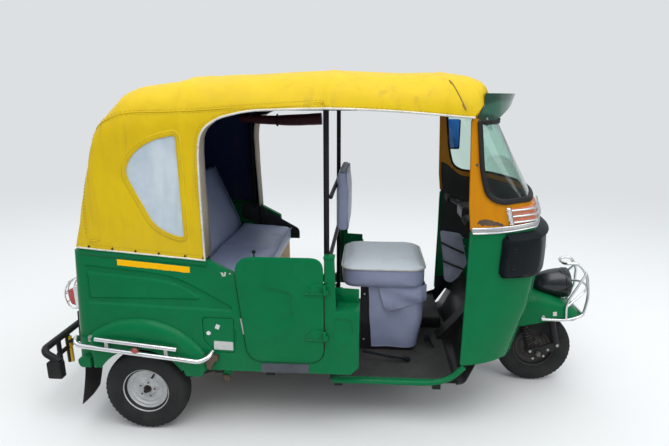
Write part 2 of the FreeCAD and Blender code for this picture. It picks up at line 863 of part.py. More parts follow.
def make_underframe():
    low = d.cabin_floor_z - d.floor_thick
    step = d.floor_z - d.floor_thick
    deep = d.backbone_depth
    head = steer_point(d.head_low_z + 60)
    spine = [(d.backbone_rear_x, low), (d.backbone_rear_x, low - deep),
             (d.cabin_floor_front_x - 90, low - deep), (d.cabin_floor_front_x, step - deep),
             (d.toe_board_x + 60, step - deep), (head.x + 10, head.z - 20), (head.x - 60, head.z + 90),
             (d.toe_board_top_x + 50, d.toe_board_top_z), (d.toe_board_x, step),
             (d.cabin_floor_front_x, step), (d.cabin_floor_front_x, low)]
    pieces = [prism(spine, -d.backbone_half, d.backbone_half)]
    pieces.append(rod(steer_point(d.head_low_z), steer_point(d.head_high_z), d.head_radius))
    cross = [(d.cabin_floor_front_x + 20, step, d.floor_half), (d.toe_board_x - 60, step, d.floor_half),
             (d.bench_front_x + 60, low, d.body_half_width - d.wall),
             (d.arm_pivot_x, low, d.body_half_width - d.wall),
             (d.cabin_floor_front_x - d.cross_wide - 1, low, d.floor_half)]
    for x, top, half in cross:
        pieces.append(box(x, x + d.cross_wide, -half, half, top - d.cross_high, top))
    frame = fused(pieces)
    way = steer_point(d.head_high_z) - steer_point(d.head_low_z)
    bore = Part.makeCylinder(d.stem_radius + d.running_gap, way.Length * 3,
                             steer_point(d.head_low_z) - way, way)
    frame = frame.cut(bore)
    y = d.floor_half + d.sill_radius + d.seat_gap
    z = d.floor_z - d.floor_thick / 2
    rise = (d.sill_front_z - z) / 95
    sill = bent_tube([(d.cabin_floor_front_x, -y, z), (d.sill_front_x - 95, -y, z),
                      (d.sill_front_x + 90, -y, d.sill_front_z + 90 * rise)], d.sill_radius, 60)
    above = box(d.toe_board_x, d.wheelbase, -d.body_half_width, d.body_half_width, d.cowl_low_z - d.seat_gap, d.cowl_low_z + 200)
    sill = sill.cut(above)
    finish_shape("underframe", frame)
    finish_shape("sill_tubes", pair(sill))


# Seats and the engine block below the bench

def make_bench():
    base = [
        ("bench_front_x", "cabin_floor_z - floor_thick"), ("bench_front_x", "bench_deck_z"),
        ("bench_rear_x", "bench_deck_z"), ("bench_rear_x", "bench_deck_z - bench_board"),
        ("bench_front_x - bench_board", "bench_deck_z - bench_board"),
        ("bench_front_x - bench_board", "cabin_floor_z - floor_thick"),
    ]
    padded_piece("bench_base", "XZ_Plane", "0", [base], "bench_half * 2", True)
    cushion = [
        ("cushion_rear_x", "bench_deck_z + seat_gap"), ("cushion_front_x", "bench_deck_z + seat_gap"),
        ("cushion_front_x", "cushion_top_z - 25"), ("cushion_rear_x", "cushion_top_z"),
    ]
    body, pad = padded_piece("bench_cushion", "XZ_Plane", "0", [cushion], "cushion_half * 2", True)
    round_edges(body, pad, "cushion_round", lambda e: e.BoundBox.ZMin > d.bench_deck_z + 20)
    back = [
        ("back_low_x", "bench_deck_z + seat_gap"),
        ("cushion_rear_x - seat_gap", "bench_deck_z + seat_gap"),
        ("cushion_rear_x - seat_gap", "cushion_top_z"),
        ("cushion_rear_x - back_lean_x", "back_top_z"),
        ("cushion_rear_x - back_lean_x - back_thick / 2", "back_top_z"),
    ]
    body, pad = padded_piece("bench_backrest", "XZ_Plane", "0", [back], "cushion_half * 2", True)
    round_edges(body, pad, "cushion_round", lambda e: e.BoundBox.ZMin > d.cushion_top_z + 50)


def make_engine():
    block = doc.addObject("Part::Box", "engine_block")
    block.setExpression("Length", bound("engine_length"))
    block.setExpression("Width", bound("engine_width"))
    block.setExpression("Height", bound("engine_height"))
    place(block, "rear_axle_x + engine_x", "-engine_width / 2", "cabin_floor_z - floor_thick")


def make_driver_seat():
    cushion = [
        ("seat_rear_x", "seat_low_z + seat_gap"), ("seat_front_x", "seat_low_z + seat_gap"),
        ("seat_front_x", "seat_top_z"), ("seat_rear_x", "seat_top_z"),
    ]
    body, pad = padded_piece("driver_cushion", "XZ_Plane", "0", [cushion], "seat_half * 2", True)
    round_edges(body, pad, "seat_round", lambda e: e.BoundBox.ZMin > d.seat_low_z + 30
                or abs(e.BoundBox.ZLength - (d.seat_top_z - d.seat_low_z - d.seat_gap)) < 1)
    base = [("base_rear_x", "floor_z"), ("base_front_x", "floor_z"), ("base_front_x", "seat_low_z"),
            ("base_rear_x", "seat_low_z")]
    padded_piece("driver_seat_base", "XZ_Plane", "0", [base], "base_half * 2", True)
    y_out = -d.seat_half
    skirt = box(d.skirt_rear_x, d.skirt_front_x, y_out, y_out + d.skirt_thick, d.skirt_low_z,
                d.seat_low_z)
    front = box(d.skirt_front_x - d.skirt_thick, d.skirt_front_x, y_out, -y_out * 0.6, d.skirt_low_z + 60,
                d.seat_low_z)
    finish_shape("driver_skirt", skirt.fuse(front))
    x0 = d.post_x + d.rail_step + d.rail_radius + d.seat_gap
    back = box(x0, x0 + d.driver_back_thick, -d.driver_back_half, d.driver_back_half,
               d.driver_back_low_z, d.driver_back_high_z)
    finish_shape("driver_backrest", back.makeFillet(25, back.Edges))


def make_posts():
    y = d.post_half_gap
    pieces = []
    for sign in (-1, 1):
        foot = Vector(d.post_x, sign * y, d.cabin_floor_z - d.floor_thick)
        pieces.append(rod(foot, Vector(d.post_x, sign * y, d.post_top_z), d.post_radius))
    rail_x = d.post_x + d.rail_step
    for z, half in ((d.rail_low_z, d.body_half_width - d.wall), (d.rail_high_z, y)):
        pieces.append(rod(Vector(rail_x, -half, z), Vector(rail_x, half, z), d.rail_radius))
    finish_shape("seat_posts", fused(pieces))


# Canopy: the side outline, the cross outline and the plan outline, each drawn right through,
# keep what all three hold; the same forms drawn smaller by the cloth's thickness hollow it

def canopy_block(inset):
    base = d.belt_drop_z - 20
    heel = Vector(d.canopy_hem_x - inset, 0, base)
    hem = Vector(d.canopy_hem_x - inset, 0, d.canopy_hem_z)
    peak = Vector(d.canopy_front_x - 1.3 * inset, 0, d.canopy_peak_z)
    brow = Vector(d.canopy_brow_x - inset, 0, d.canopy_brow_z - inset)
    side = [
        Part.makeLine(heel, hem),
        Part.makeLine(hem, peak),
        Part.makeLine(peak, brow),
        Part.Arc(brow, Vector(d.canopy_crown_x, 0, d.canopy_crown_z - inset),
                 Vector(d.canopy_roof_x + inset, 0, d.canopy_roof_z - inset)).toShape(),
        Part.makeLine(Vector(d.canopy_roof_x + inset, 0, d.canopy_roof_z - inset),
                      Vector(d.canopy_chamfer_x + inset, 0, d.canopy_chamfer_z - inset)),
        Part.makeLine(Vector(d.canopy_chamfer_x + inset, 0, d.canopy_chamfer_z - inset),
                      Vector(d.canopy_rear_top_x + inset, 0, d.canopy_rear_z - inset)),
        Part.makeLine(Vector(d.canopy_rear_top_x + inset, 0, d.canopy_rear_z - inset),
                      Vector(d.canopy_rear_x - 50 + inset, 0, base)),
        Part.makeLine(Vector(d.canopy_rear_x - 50 + inset, 0, base), heel),
    ]
    wide = 2 * d.body_half_width
    length = Part.Face(Part.Wire(side)).extrude(Vector(0, wide, 0))
    length.translate(Vector(0, -d.body_half_width, 0))
    low = d.body_half_width + 6 - inset
    high = d.canopy_top_half - inset
    x0 = d.canopy_rear_x - 100
    eave = d.canopy_chamfer_z - 40
    roof = d.canopy_crown_z - inset

    def end(y, z):
        return Vector(x0, y, z)

    cross = [
        Part.makeLine(end(-low, base), end(-high, eave)),
        Part.Arc(end(-high, eave), end(-high + 40, eave + 80), end(-high + 160, roof - 40)).toShape(),
        Part.Arc(end(-high + 160, roof - 40), end(0, roof + 1), end(high - 160, roof - 40)).toShape(),
        Part.Arc(end(high - 160, roof - 40), end(high - 40, eave + 80), end(high, eave)).toShape(),
        Part.makeLine(end(high, eave), end(low, base)),
        Part.makeLine(end(low, base), end(-low, base)),
    ]
    girth = Part.Face(Part.Wire(cross)).extrude(Vector(2 * d.wheelbase, 0, 0))
    full = d.body_half_width + 6 - inset
    slim = d.canopy_front_half - inset
    corner = d.canopy_corner
    far = d.canopy_rear_x - 50 + inset
    shoulder = peak.x - d.canopy_nose_length
    nose = slim - d.canopy_nose_inset
    plan = [(far, -full + corner), (far + corner, -full), (d.belt_drop_x, -full), (shoulder, -slim),
            (peak.x, -nose), (peak.x, nose), (shoulder, slim), (d.belt_drop_x, full),
            (far + corner, full), (far, full - corner)]
    corners = [Vector(x, y, base) for x, y in plan]
    tall = Part.Face(Part.makePolygon(corners + corners[:1])).extrude(Vector(0, 0, 2 * d.belt_z))
    return length.common(girth).common(tall)


# Outline rows: x, z, rounding radius
CANOPY_OPENING = [
    ("belt_drop_x - 2", "belt_z - 200", "0"), ("belt_drop_x - 16", "opening_edge_z", "0"),
    ("belt_drop_x - 10", "opening_bend_z", "opening_round"), ("belt_drop_x + 180", "opening_top_z - 8", "200"),
    ("post_x + 100", "opening_top_z + 4", "0"), ("canopy_hem_x - 8", "canopy_hem_z", "0"),
    ("canopy_front_x + 50", "canopy_hem_z", "0"), ("canopy_front_x + 50", "belt_z - 200", "0"),
]
CANOPY_WINDOW = [
    ("window_rear_x", "window_mid_z", "window_round"), ("window_crown_x", "window_high_z - 2", "window_round"),
    ("window_front_x - 12", "window_high_z + 8", "window_corner"),
    ("window_front_x", "window_low_z", "window_corner"), ("window_heel_x", "window_low_z + 14", "window_round"),
]


def make_canopy():
    outer = canopy_block(0)
    inner = canopy_block(d.canopy_thick)
    inner.translate(Vector(0, 0, -0.01))
    hood = outer.cut(inner)
    far = d.body_half_width + 100
    hood = hood.cut(across(rounded_wire(CANOPY_OPENING), -far, far))
    below = box(-d.wheelbase, d.belt_drop_x + 20, -far, far, 0, d.belt_z + d.seat_gap)
    hood = hood.cut(below)
    pane = across(rounded_wire(CANOPY_WINDOW), -far, 0)
    windows = hood.common(pane)
    hood = hood.cut(pane)
    finish_shape("canopy_hood", hood)
    finish_shape("canopy_windows", windows)


def make_canopy_frame():
    r = d.bow_radius
    low = d.belt_z - 40
    pieces = []
    rails_y = d.canopy_front_half - 40
    eave = d.post_top_z + r
    for sign in (-1, 1):
        pieces.append(rod(Vector(d.belt_drop_x - 40, sign * rails_y, eave), Vector(d.canopy_hem_x + 3, sign * rails_y, eave), r))
    for x in (d.belt_drop_x - 40, d.post_x, d.canopy_hem_x - 117):
        pieces.append(rod(Vector(x, -rails_y, eave), Vector(x, rails_y, eave), r))
    for sign in (-1, 1):
        pieces.append(rod(Vector(d.belt_drop_x - 40, sign * (rails_y + 40), low),
                          Vector(d.belt_drop_x - 40, sign * rails_y, eave), r))
    finish_shape("canopy_frame", fused(pieces))


# Front cowl: plan sections at a few heights, each two side arcs and one nose arc
# Height, rear end of the side and its half width, corner and its half width, nose: lengths are
# from the front axle, widths from the side of the body
COWL = [
    (340, -495, -100, -265, -210, -138),
    (610, -492, -100, -189, -210, -72),
    (745, -490, -100, -173, -210, -55),
    (1008, -489, -100, -176, -210, -62),
]
UPPER = [
    (1008.3, -489, -100, -176, -210, -62),
    (1110, -500, -100, -200, -210, -95),
    (1491.7, -513, -112, -392, -210, -302),
]


def front_section(row, grow):
    """Open outline of one section, moved outwards by grow."""
    z, rear, half, corner_x, corner_y, nose = row
    rear = d.wheelbase + rear
    half = d.body_half_width + half + grow
    corner_x = d.wheelbase + corner_x + grow * 0.8
    corner_y = d.body_half_width + corner_y + grow * 0.6
    nose = d.wheelbase + nose + grow
    belly_x = rear + (corner_x - rear) * 0.55
    belly_y = half - (half - corner_y) * 0.34
    return [
        Part.Arc(Vector(rear, -half, z), Vector(belly_x, -belly_y, z), Vector(corner_x, -corner_y, z)),
        Part.Arc(Vector(corner_x, -corner_y, z), Vector(nose, 0, z), Vector(corner_x, corner_y, z)),
        Part.Arc(Vector(corner_x, corner_y, z), Vector(belly_x, belly_y, z), Vector(rear, half, z)),
    ]


def front_shell(rows, grow, thick):
    """A wall that follows the front sections, its outer face grow outside them."""
    wires = []
    for row in rows:
        wires.append(closed_u(front_section(row, grow), front_section(row, grow - thick)))
    return Part.makeLoft(wires, True, True)


def front_solid(rows, grow):
    """Everything inside the front sections."""
    wires = []
    for row in rows:
        edges = front_section(row, grow)
        back = Part.makeLine(edges[-1].EndPoint, edges[0].StartPoint)
        wires.append(Part.Wire([e.toShape() for e in edges] + [back]))
    return Part.makeLoft(wires, True, True)


def make_front():
    far = d.cowl_half + 100
    ahead = d.wheelbase + 200
    cowl = front_shell(COWL, 0, d.cowl_wall)
    half = d.cowl_arch_half
    arch = [(-half, 200), (-half, d.cowl_arch_z - 90), (-half + 90, d.cowl_arch_z),
            (half - 90, d.cowl_arch_z), (half, d.cowl_arch_z - 90), (half, 200)]
    corners = [Vector(d.cowl_arch_x, y, z) for y, z in arch]
    tunnel = Part.Face(Part.makePolygon(corners + corners[:1])).extrude(Vector(d.wheelbase, 0, 0))
    finish_shape("front_cowl", cowl.cut(tunnel))
    screen = [(d.screen_rear_x - 25, d.screen_high_z), (d.screen_rear_x, d.screen_low_z + 110),
              (d.screen_rear_x + 30, d.screen_low_z + 15), (d.screen_rear_x + 80, d.screen_low_z - 15),
              (ahead, d.screen_low_z), (ahead, d.screen_high_z)]
    window = prism(screen, -far, far)
    upper = front_shell(UPPER, 0, d.cowl_wall).cut(window)
    lid = front_solid(UPPER, 0).common(box(d.toe_board_x, ahead, -far, far, d.upper_top_z - d.cowl_wall, 2 * d.upper_top_z))
    upper = upper.fuse(lid)
    glass = front_shell(UPPER, -d.glass_inset, d.glass_thick).common(window)
    finish_shape("front_upper", upper)
    finish_shape("windscreen", glass)
    room = box(d.housing_rear_x, ahead, -far, -d.housing_inner_y, d.housing_low_z, d.housing_high_z)
    ring = front_shell(COWL, d.housing_out, d.housing_out - d.seat_gap)
    finish_shape("lamp_housings", pair(ring.common(room)))
    ring = front_shell(COWL, d.mask_out, d.mask_out - d.seat_gap)
    middle = box(d.housing_rear_x, ahead, -d.mask_half, d.mask_half, d.mask_low_z, d.housing_high_z)
    finish_shape("front_mask", ring.common(middle))
    ring = front_shell(UPPER, d.indicator_out, d.indicator_out - d.seat_gap)
    room = box(d.indicator_rear_x, ahead, -far, -d.indicator_inner_y, d.indicator_low_z, d.indicator_high_z)
    finish_shape("indicators", pair(ring.common(room)))


def make_visor():
    """A tinted brim: wall and top over the windscreen, cut off along a slanting lower edge."""
    low = (d.visor_low_z, -511, -110.5 + d.seat_gap, -373, -209.5, -282)
    high = (d.visor_high_z, -485, -110, -375, -190, -236)
    outer = front_solid([low, high], 0)
    inner_high = (d.visor_high_z - d.visor_thick,) + high[1:]
    inner = front_solid([low, inner_high], -d.visor_thick)
    brim = outer.cut(inner)
    hem = d.canopy_hem_x
    far = d.body_half_width + 100
    slant = d.visor_low_z + 124
    below = [(hem - 97, slant + 20), (hem + 3, d.visor_low_z + 49), (hem + 55, d.visor_low_z),
             (hem + 293, slant), (d.wheelbase, slant + 120), (d.wheelbase, d.visor_low_z - 150),
             (hem - 97, d.visor_low_z - 150)]
    front = box(hem, d.wheelbase, -far, far, d.visor_low_z, d.visor_high_z + 10)
    brim = brim.common(front).cut(prism(below, -far, far)).cut(canopy_block(-d.seat_gap))
    brim = brim.cut(front_solid(UPPER, d.seat_gap))
    finish_shape("sun_visor", brim)


def make_dashboard():
    block = box(d.dash_rear_x, d.wheelbase, -d.dash_half, d.dash_half, d.dash_low_z, d.dash_high_z)
    inside = front_solid(COWL, -d.cowl_wall - d.seat_gap)
    finish_shape("dashboard", block.common(inside))


# Steering: stem in the head tube, one-sided fork with a trailing link, bar, mudguard and headlamp

def make_steering():
    side = -d.fork_side
    axle = Vector(d.wheelbase, 0, d.tyre_radius)
    crown = steer_point(d.crown_z)
    stem = rod(crown, steer_point(d.steer_z), d.stem_radius)
    leg = bent_tube([(crown.x, 0, crown.z), (crown.x + 15, side, crown.z + 5),
                     (d.link_pivot_x - 45, side, crown.z - 10),
                     (d.link_pivot_x, side, d.link_pivot_z)], d.fork_radius, 38)
    pivot = Vector(d.link_pivot_x, side, d.link_pivot_z)
    link_y0 = side - d.link_thick / 2
    link = prism([(d.link_pivot_x + 22, d.link_pivot_z - 12), (d.link_pivot_x + 14, d.link_pivot_z + 20),
                  (d.wheelbase, d.tyre_radius + 30), (d.strut_foot_x - 18, d.tyre_radius + 24),
                  (d.strut_foot_x - 18, d.tyre_radius - 8), (d.wheelbase, d.tyre_radius - 30)],
                 link_y0, link_y0 + d.link_thick)
    pin = rod(Vector(axle.x, link_y0, axle.z), Vector(axle.x, d.hub_in + 8, axle.z), d.axle_radius)
    foot = Vector(d.strut_foot_x, side, d.tyre_radius + 15)
    top = Vector(d.strut_top_x, side, d.strut_top_z)
    way = top - foot
    strut = rod(foot, top, 8)
    spring = rod(foot + way * 0.2, foot + way * 0.85, d.spring_radius)
    finish_shape("front_fork", fused([stem, leg, link, pin, strut, spring]))

    bar = bent_tube([(d.grip_x, -d.grip_outer, d.grip_z), (d.grip_x + 6, -d.grip_inner, d.grip_z + 4),
                     (d.steer_x, -70, d.steer_z + 5), (d.steer_x, 70, d.steer_z + 5),
                     (d.grip_x + 6, d.grip_inner, d.grip_z + 4), (d.grip_x, d.grip_outer, d.grip_z)],
                    d.bar_radius, 40)
    grips = []
    for sign in (-1, 1):
        grips.append(rod(Vector(d.grip_x, sign * d.grip_outer, d.grip_z),
                         Vector(d.grip_x + 6, sign * d.grip_inner, d.grip_z + 4), d.grip_radius))
    pod = box(d.steer_x - 55, d.steer_x + 75, -85, 85, d.steer_z - 28, d.steer_z + 45)
    pod = pod.makeFillet(20, pod.Edges)
    way = steer_point(d.steer_z) - crown
    bar = fused([bar, pod] + grips)
    stem_room = Part.makeCylinder(d.stem_radius + d.seat_gap, way.Length + 2, crown, way)
    finish_shape("handlebar", bar.cut(stem_room))


def mudguard_profile(inset):
    front = d.mudguard_front_x
    rear = d.mudguard_rear_x
    return [(rear + inset, d.mudguard_low_rear_z), (rear + 22 + inset, 455 - inset),
            (d.mudguard_top_x - 20, d.mudguard_top_z - inset), (d.mudguard_top_x + 105, 520 - inset),
            (front - 50 - inset, 472 - inset), (front - inset, d.mudguard_low_front_z)]


def make_mudguard():
    half = d.mudguard_half
    outer = prism(mudguard_profile(0), -half, half)
    edges = [e for e in outer.Edges if e.BoundBox.YLength < 1 and e.BoundBox.ZMax > 440]
    outer = outer.makeFillet(30, edges)
    t = d.guard_thick
    inner_points = mudguard_profile(t)
    rear, front = inner_points[0], inner_points[-1]
    inner_points = [(rear[0], rear[1] - 40)] + inner_points + [(front[0], front[1] - 40)]
    inner = prism(inner_points, -half + t, half - t)
    shell = outer.cut(inner)
    way = steer_point(d.steer_z) - steer_point(d.crown_z)
    hole = Part.makeCylinder(d.stem_radius + d.seat_gap, way.Length * 1.2,
                             steer_point(d.crown_z) - way * 0.2, way)
    finish_shape("front_mudguard", shell.cut(hole))


def make_headlamp():
    """A cone-shaped lamp body turned about its beam, on a round foot."""
    profile = [(d.lamp_back_x, 0), (d.lamp_back_x, d.lamp_back_radius),
               (d.lamp_front_x - d.lamp_rim, d.lamp_radius - 4), (d.lamp_front_x - d.lamp_rim, d.lamp_radius),
               (d.lamp_front_x, d.lamp_radius), (d.lamp_front_x, d.lamp_radius - d.lamp_bezel),
               (d.lamp_front_x - d.lamp_recess, d.lamp_radius - d.lamp_bezel - 2), (d.lamp_front_x, 0)]
    corners = [Vector(x, 0, d.lamp_z + r) for x, r in profile]
    face = Part.Face(Part.makePolygon(corners + corners[:1]))
    lamp = face.revolve(Vector(0, 0, d.lamp_z), Vector(1, 0, 0), 360)
    foot = rod(Vector(d.lamp_foot_x, 0, 470), Vector(d.lamp_foot_x, 0, d.lamp_z), d.lamp_foot_radius)
    foot = foot.cut(prism(mudguard_profile(-d.seat_gap), -100, 100))
    finish_shape("headlamp", lamp.fuse(foot))


def make_headlamp_guard():
    y = d.mudguard_half + d.hoop_radius + d.seat_gap
    front = d.hoop_front_x
    hoops = []
    for sign in (-1, 1):
        hoops.append(bent_tube([(d.wheelbase + 40, sign * y, d.hoop_low_z + 12),
                                (front - 35, sign * y, d.hoop_low_z),
                                (front, sign * (y - 35), d.hoop_low_z + 60),
                                (front, sign * d.hoop_top_half, d.hoop_top_z - 60),
                                (front - 70, sign * d.hoop_top_half, d.hoop_top_z)], d.hoop_radius, 25))
    bars = [(front - 70, d.hoop_top_half, d.hoop_top_z), (front, y - 35, d.hoop_low_z + 60),
            (front, d.hoop_top_half + 4, d.hoop_top_z - 100)]
    for x, half, z in bars:
        hoops.append(rod(Vector(x, -half, z), Vector(x, half, z), d.hoop_radius))
    finish_shape("headlamp_guard", fused(hoops))


# Rear running gear, bumper, guards, mudflaps and mirror

def make_rear_suspension():
    inner = -d.arm_outer_y
    outer = -d.arm_inner_y
    pz = d.arm_pivot_z
    arm = prism([(-40, d.tyre_radius - 35), (-40, d.tyre_radius + 35), (0, d.tyre_radius + 45),
                 (d.arm_pivot_x, pz + d.arm_height / 2), (d.arm_pivot_x, pz - d.arm_height / 2),
                 (30, d.tyre_radius - 45)], inner, outer)
    hub_gap = d.rear_half_track - d.hub_in - d.seat_gap
    hub_face = -d.rear_half_track - d.hub_out - 2
    stub = rod(Vector(0, hub_face, d.tyre_radius), Vector(0, outer, d.tyre_radius), d.axle_radius)
    tip = rod(Vector(0, hub_face - d.axle_end_length, d.tyre_radius), Vector(0, hub_face, d.tyre_radius),
              d.axle_end_radius)
    boss = rod(Vector(0, -hub_gap, d.tyre_radius), Vector(0, outer, d.tyre_radius), 38)
    shaft = rod(Vector(0, outer, d.tyre_radius), Vector(0, -120, d.cabin_floor_z + 60), 14)
    block = d.engine_width / 2 + d.seat_gap
    shaft = shaft.cut(box(-200, 200, -block, block, 0, 700))
    deck = d.bench_deck_z - d.bench_board - d.seat_gap
    spring = rod(Vector(60, -462, d.tyre_radius + 40), Vector(40, -462, deck), 30)
    spring = spring.cut(box(-d.arch_radius, d.arch_radius, -d.body_half_width, 0, deck, deck + 50))
    finish_shape("rear_suspension", pair(fused([arm, stub, tip, boss, shaft, spring])))


def make_bumper():
    """A main bar whose ends bend forward to a foot, a thinner bar below and uprights between."""
    x = d.bumper_x
    half = d.bumper_half
    high = d.bumper_high_z
    end = (d.bumper_end_x, d.bumper_end_z)
    main = bent_tube([(end[0], -half, end[1]), (x, -half, high), (x, half, high), (end[0], half, end[1])],
                     d.bumper_radius, d.bumper_bend)
    low = rod(Vector(x, -d.bumper_low_half, d.bumper_low_z), Vector(x, d.bumper_low_half, d.bumper_low_z),
              d.bumper_bar_radius)
    pieces = [main, low]
    for sign in (-1, 1):
        for y in (d.bumper_strut_y, d.bumper_low_half - d.bumper_bar_radius):
            pieces.append(rod(Vector(x, sign * y, high), Vector(x, sign * y, d.bumper_leg_z),
                              d.bumper_bar_radius))
        y = sign * d.bumper_strut_y
        strut_end = d.skirt_z + 22
        strut = rod(Vector(x, y, d.bumper_low_z + 30), Vector(rear_x(strut_end) + 5, y, strut_end),
                    d.bumper_bar_radius)
        pieces.append(strut.cut(rear_wall()))
        foot = box(d.foot_rear_x, d.foot_front_x, sign * half - d.foot_half_width,
                   sign * half + d.foot_half_width, d.foot_low_z, d.bumper_end_z)
        pieces.append(foot.makeFillet(10, foot.Edges))
    finish_shape("rear_bumper", fused(pieces))


def make_side_guards():
    y = -d.side_guard_y
    wall = -d.body_half_width
    r = d.guard_radius
    main = bent_tube([(d.side_guard_rear_x - 25, wall, d.side_guard_rear_z + 4),
                      (d.side_guard_rear_x, y, d.side_guard_rear_z),
                      (d.side_guard_front_x, y, d.side_guard_front_z),
                      (d.side_guard_front_x + 25, wall, d.side_guard_front_z)], r, 30)
    slope = (d.side_guard_front_z - d.side_guard_rear_z) / (d.side_guard_front_x - d.side_guard_rear_x)

    def height(x):
        return d.side_guard_rear_z + (x - d.side_guard_rear_x) * slope

    rub = rod(Vector(d.rub_rear_x, y, height(d.rub_rear_x) + d.rub_rise),
              Vector(d.rub_front_x, y, height(d.rub_front_x) + d.rub_rise), r)
    links = []
    for x in (d.rub_rear_x + 45, d.rub_front_x - 45):
        links.append(rod(Vector(x, y, height(x)), Vector(x, y, height(x) + d.rub_rise), r * 0.7))
    room = box(d.bumper_x, d.door_rear_low_x, wall - d.seat_gap, -wall, 0, d.belt_z)
    guard = fused([main, rub] + links).cut(room)
    finish_shape("side_guards", pair(guard))


def make_mudflaps():
    loop = [("mudflap_inner_y", "mudflap_low_z"), ("mudflap_outer_y", "mudflap_low_z"),
            ("mudflap_outer_y", "skirt_z - seat_gap"), ("mudflap_inner_y", "skirt_z - seat_gap")]
    twin = [(f"-{a}", b) for a, b in loop]
    padded_piece("mudflaps", "YZ_Plane", "mudflap_x", [loop, twin], "mudflap_thick")


def make_mirror():
    y = d.mirror_y
    head = box(d.mirror_x - d.mirror_half, d.mirror_x + d.mirror_half, y, y + d.mirror_thick,
               d.mirror_low_z, d.mirror_high_z)
    head = head.makeFillet(10, head.Edges)
    arm = bent_tube([(d.mirror_x - 80, d.cowl_half - 2, d.mirror_low_z - 50),
                     (d.mirror_x - 40, y + 10, d.mirror_low_z - 40),
                     (d.mirror_x, y + 12, d.mirror_low_z + 20)], d.mirror_arm_radius, 20)
    finish_shape("mirror", head.fuse(arm))


make_wheels()
make_side("side_panel_right", -1)
make_side("side_panel_left", 1)
make_door()
make_flap()
make_fenders()
make_rear()
make_floor()
make_underframe()
make_bench()
make_engine()
make_driver_seat()
make_posts()
make_canopy()
make_canopy_frame()
make_front()
make_visor()
make_dashboard()
make_steering()
make_mudguard()
make_headlamp()
make_headlamp_guard()
make_rear_suspension()
make_bumper()
make_side_guards()
make_mudflaps()
make_mirror()
doc.recompute()

# Every object is checked before anything is written

pieces = []
for item in doc.Objects:
    if "Invalid" in item.State or "Error" in item.State:
        raise RuntimeError(f"{item.Name} failed: {item.State}")
    if item.isDerivedFrom("PartDesign::Body") or item.TypeId in ("Part::Box", "Part::Feature"):
        pieces.append(item)
for item in pieces:
    if item.Shape.isNull() or not item.Shape.isValid():
        raise RuntimeError(f"{item.Label} has no valid shape")
for item in pieces:
    item.Shape.exportStep(f"parts/{item.Label}.step")
    volume = item.Shape.Volume / 1e6
    print(f"{item.Label}: {len(item.Shape.Solids)} solids, {volume:.3f} litres")
print(len(pieces), "pieces")
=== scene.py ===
# %% [markdown]
# # An auto rickshaw dressed around its CAD frame
# The frame holds every rigid piece at its real size and in its real place: panels, tubes, wheels,
# seats and the canopy's stiff stand-in. This lesson adds what makes it look real: pressed sheet
# metal, coated canvas, stuffed seats, treaded tyres and worn paint. Nothing in the frame is moved.

# %% Load the frame
import json
import math
import random

import bmesh
import bpy
import numpy as np
from mathutils import Matrix, Vector, geometry, noise


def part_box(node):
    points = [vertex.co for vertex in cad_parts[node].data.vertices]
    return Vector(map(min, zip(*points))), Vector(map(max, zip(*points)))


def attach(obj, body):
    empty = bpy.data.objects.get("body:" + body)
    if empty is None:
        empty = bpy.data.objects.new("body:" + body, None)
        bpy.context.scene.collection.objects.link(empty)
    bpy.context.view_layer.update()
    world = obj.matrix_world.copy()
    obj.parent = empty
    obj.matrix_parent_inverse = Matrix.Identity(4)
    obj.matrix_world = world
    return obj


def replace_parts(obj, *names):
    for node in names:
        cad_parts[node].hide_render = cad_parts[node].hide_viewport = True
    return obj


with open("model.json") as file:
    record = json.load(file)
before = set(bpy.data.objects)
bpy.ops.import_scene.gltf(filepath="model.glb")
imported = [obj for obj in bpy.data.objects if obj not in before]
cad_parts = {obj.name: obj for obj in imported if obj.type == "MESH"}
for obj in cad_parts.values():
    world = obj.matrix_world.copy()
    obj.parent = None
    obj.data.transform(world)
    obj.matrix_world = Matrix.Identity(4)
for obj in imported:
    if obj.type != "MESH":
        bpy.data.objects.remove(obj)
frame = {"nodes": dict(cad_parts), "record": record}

scene = bpy.context.scene
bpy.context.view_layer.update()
random.seed(7)
print("nodes in the frame:", len(frame["nodes"]))

# %% [markdown]
# The vehicle is measured in millimetres as a workshop would: forward of the rear axle, to the left
# of the centre line and up from the ground. One helper turns that into a point of the frame.

# %% Places on the vehicle
MM = 0.001
wheel_low, wheel_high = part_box("rear_right_tyre")
AXLE_X = (wheel_low.x + wheel_high.x) / 2
WHEEL_R = (wheel_high.z - wheel_low.z) / 2


def at(x, y, z):
    """A point of the frame, in metres, from millimetres forward, left and up."""
    return Vector((AXLE_X + x * MM, y * MM, z * MM))


def workshop(place):
    """Millimetres forward, left and up of a point of the frame."""
    return (place.x - AXLE_X) / MM, place.y / MM, place.z / MM


def spot(node):
    """Lowest and highest corner of a CAD node in workshop millimetres."""
    low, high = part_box(node)
    shift = Vector((AXLE_X, 0, 0))
    return (low - shift) / MM, (high - shift) / MM


print("rear axle at", round(AXLE_X, 3), "wheel radius", round(WHEEL_R, 3))

# %% [markdown]
# Most pieces are one of a few kinds: a grid of points, a tube swept along a route, a turned
# profile, or an outline given some depth. Short helpers make these kinds, so that each piece
# below is only its own sizes. Bevels and boolean cuts are modifiers, applied at once.

# %% Helpers that make meshes
def new_piece(name, points, faces, angle=35):
    """An object from points and faces, smooth except where faces meet at a sharp angle."""
    mesh = bpy.data.meshes.new(name)
    mesh.from_pydata([tuple(p) for p in points], [], faces)
    mesh.validate()
    piece = bpy.data.objects.new(name, mesh)
    scene.collection.objects.link(piece)
    return smooth(piece, angle)


def smooth(piece, angle=35):
    """Shades a piece softly except across sharp angles."""
    piece.data.shade_smooth()
    piece.data.set_sharp_from_angle(angle=math.radians(angle))
    return piece


def tidy_normals(piece):
    """Makes every face look outwards."""
    work = bmesh.new()
    work.from_mesh(piece.data)
    bmesh.ops.recalc_face_normals(work, faces=work.faces)
    work.to_mesh(piece.data)
    work.free()
    return piece


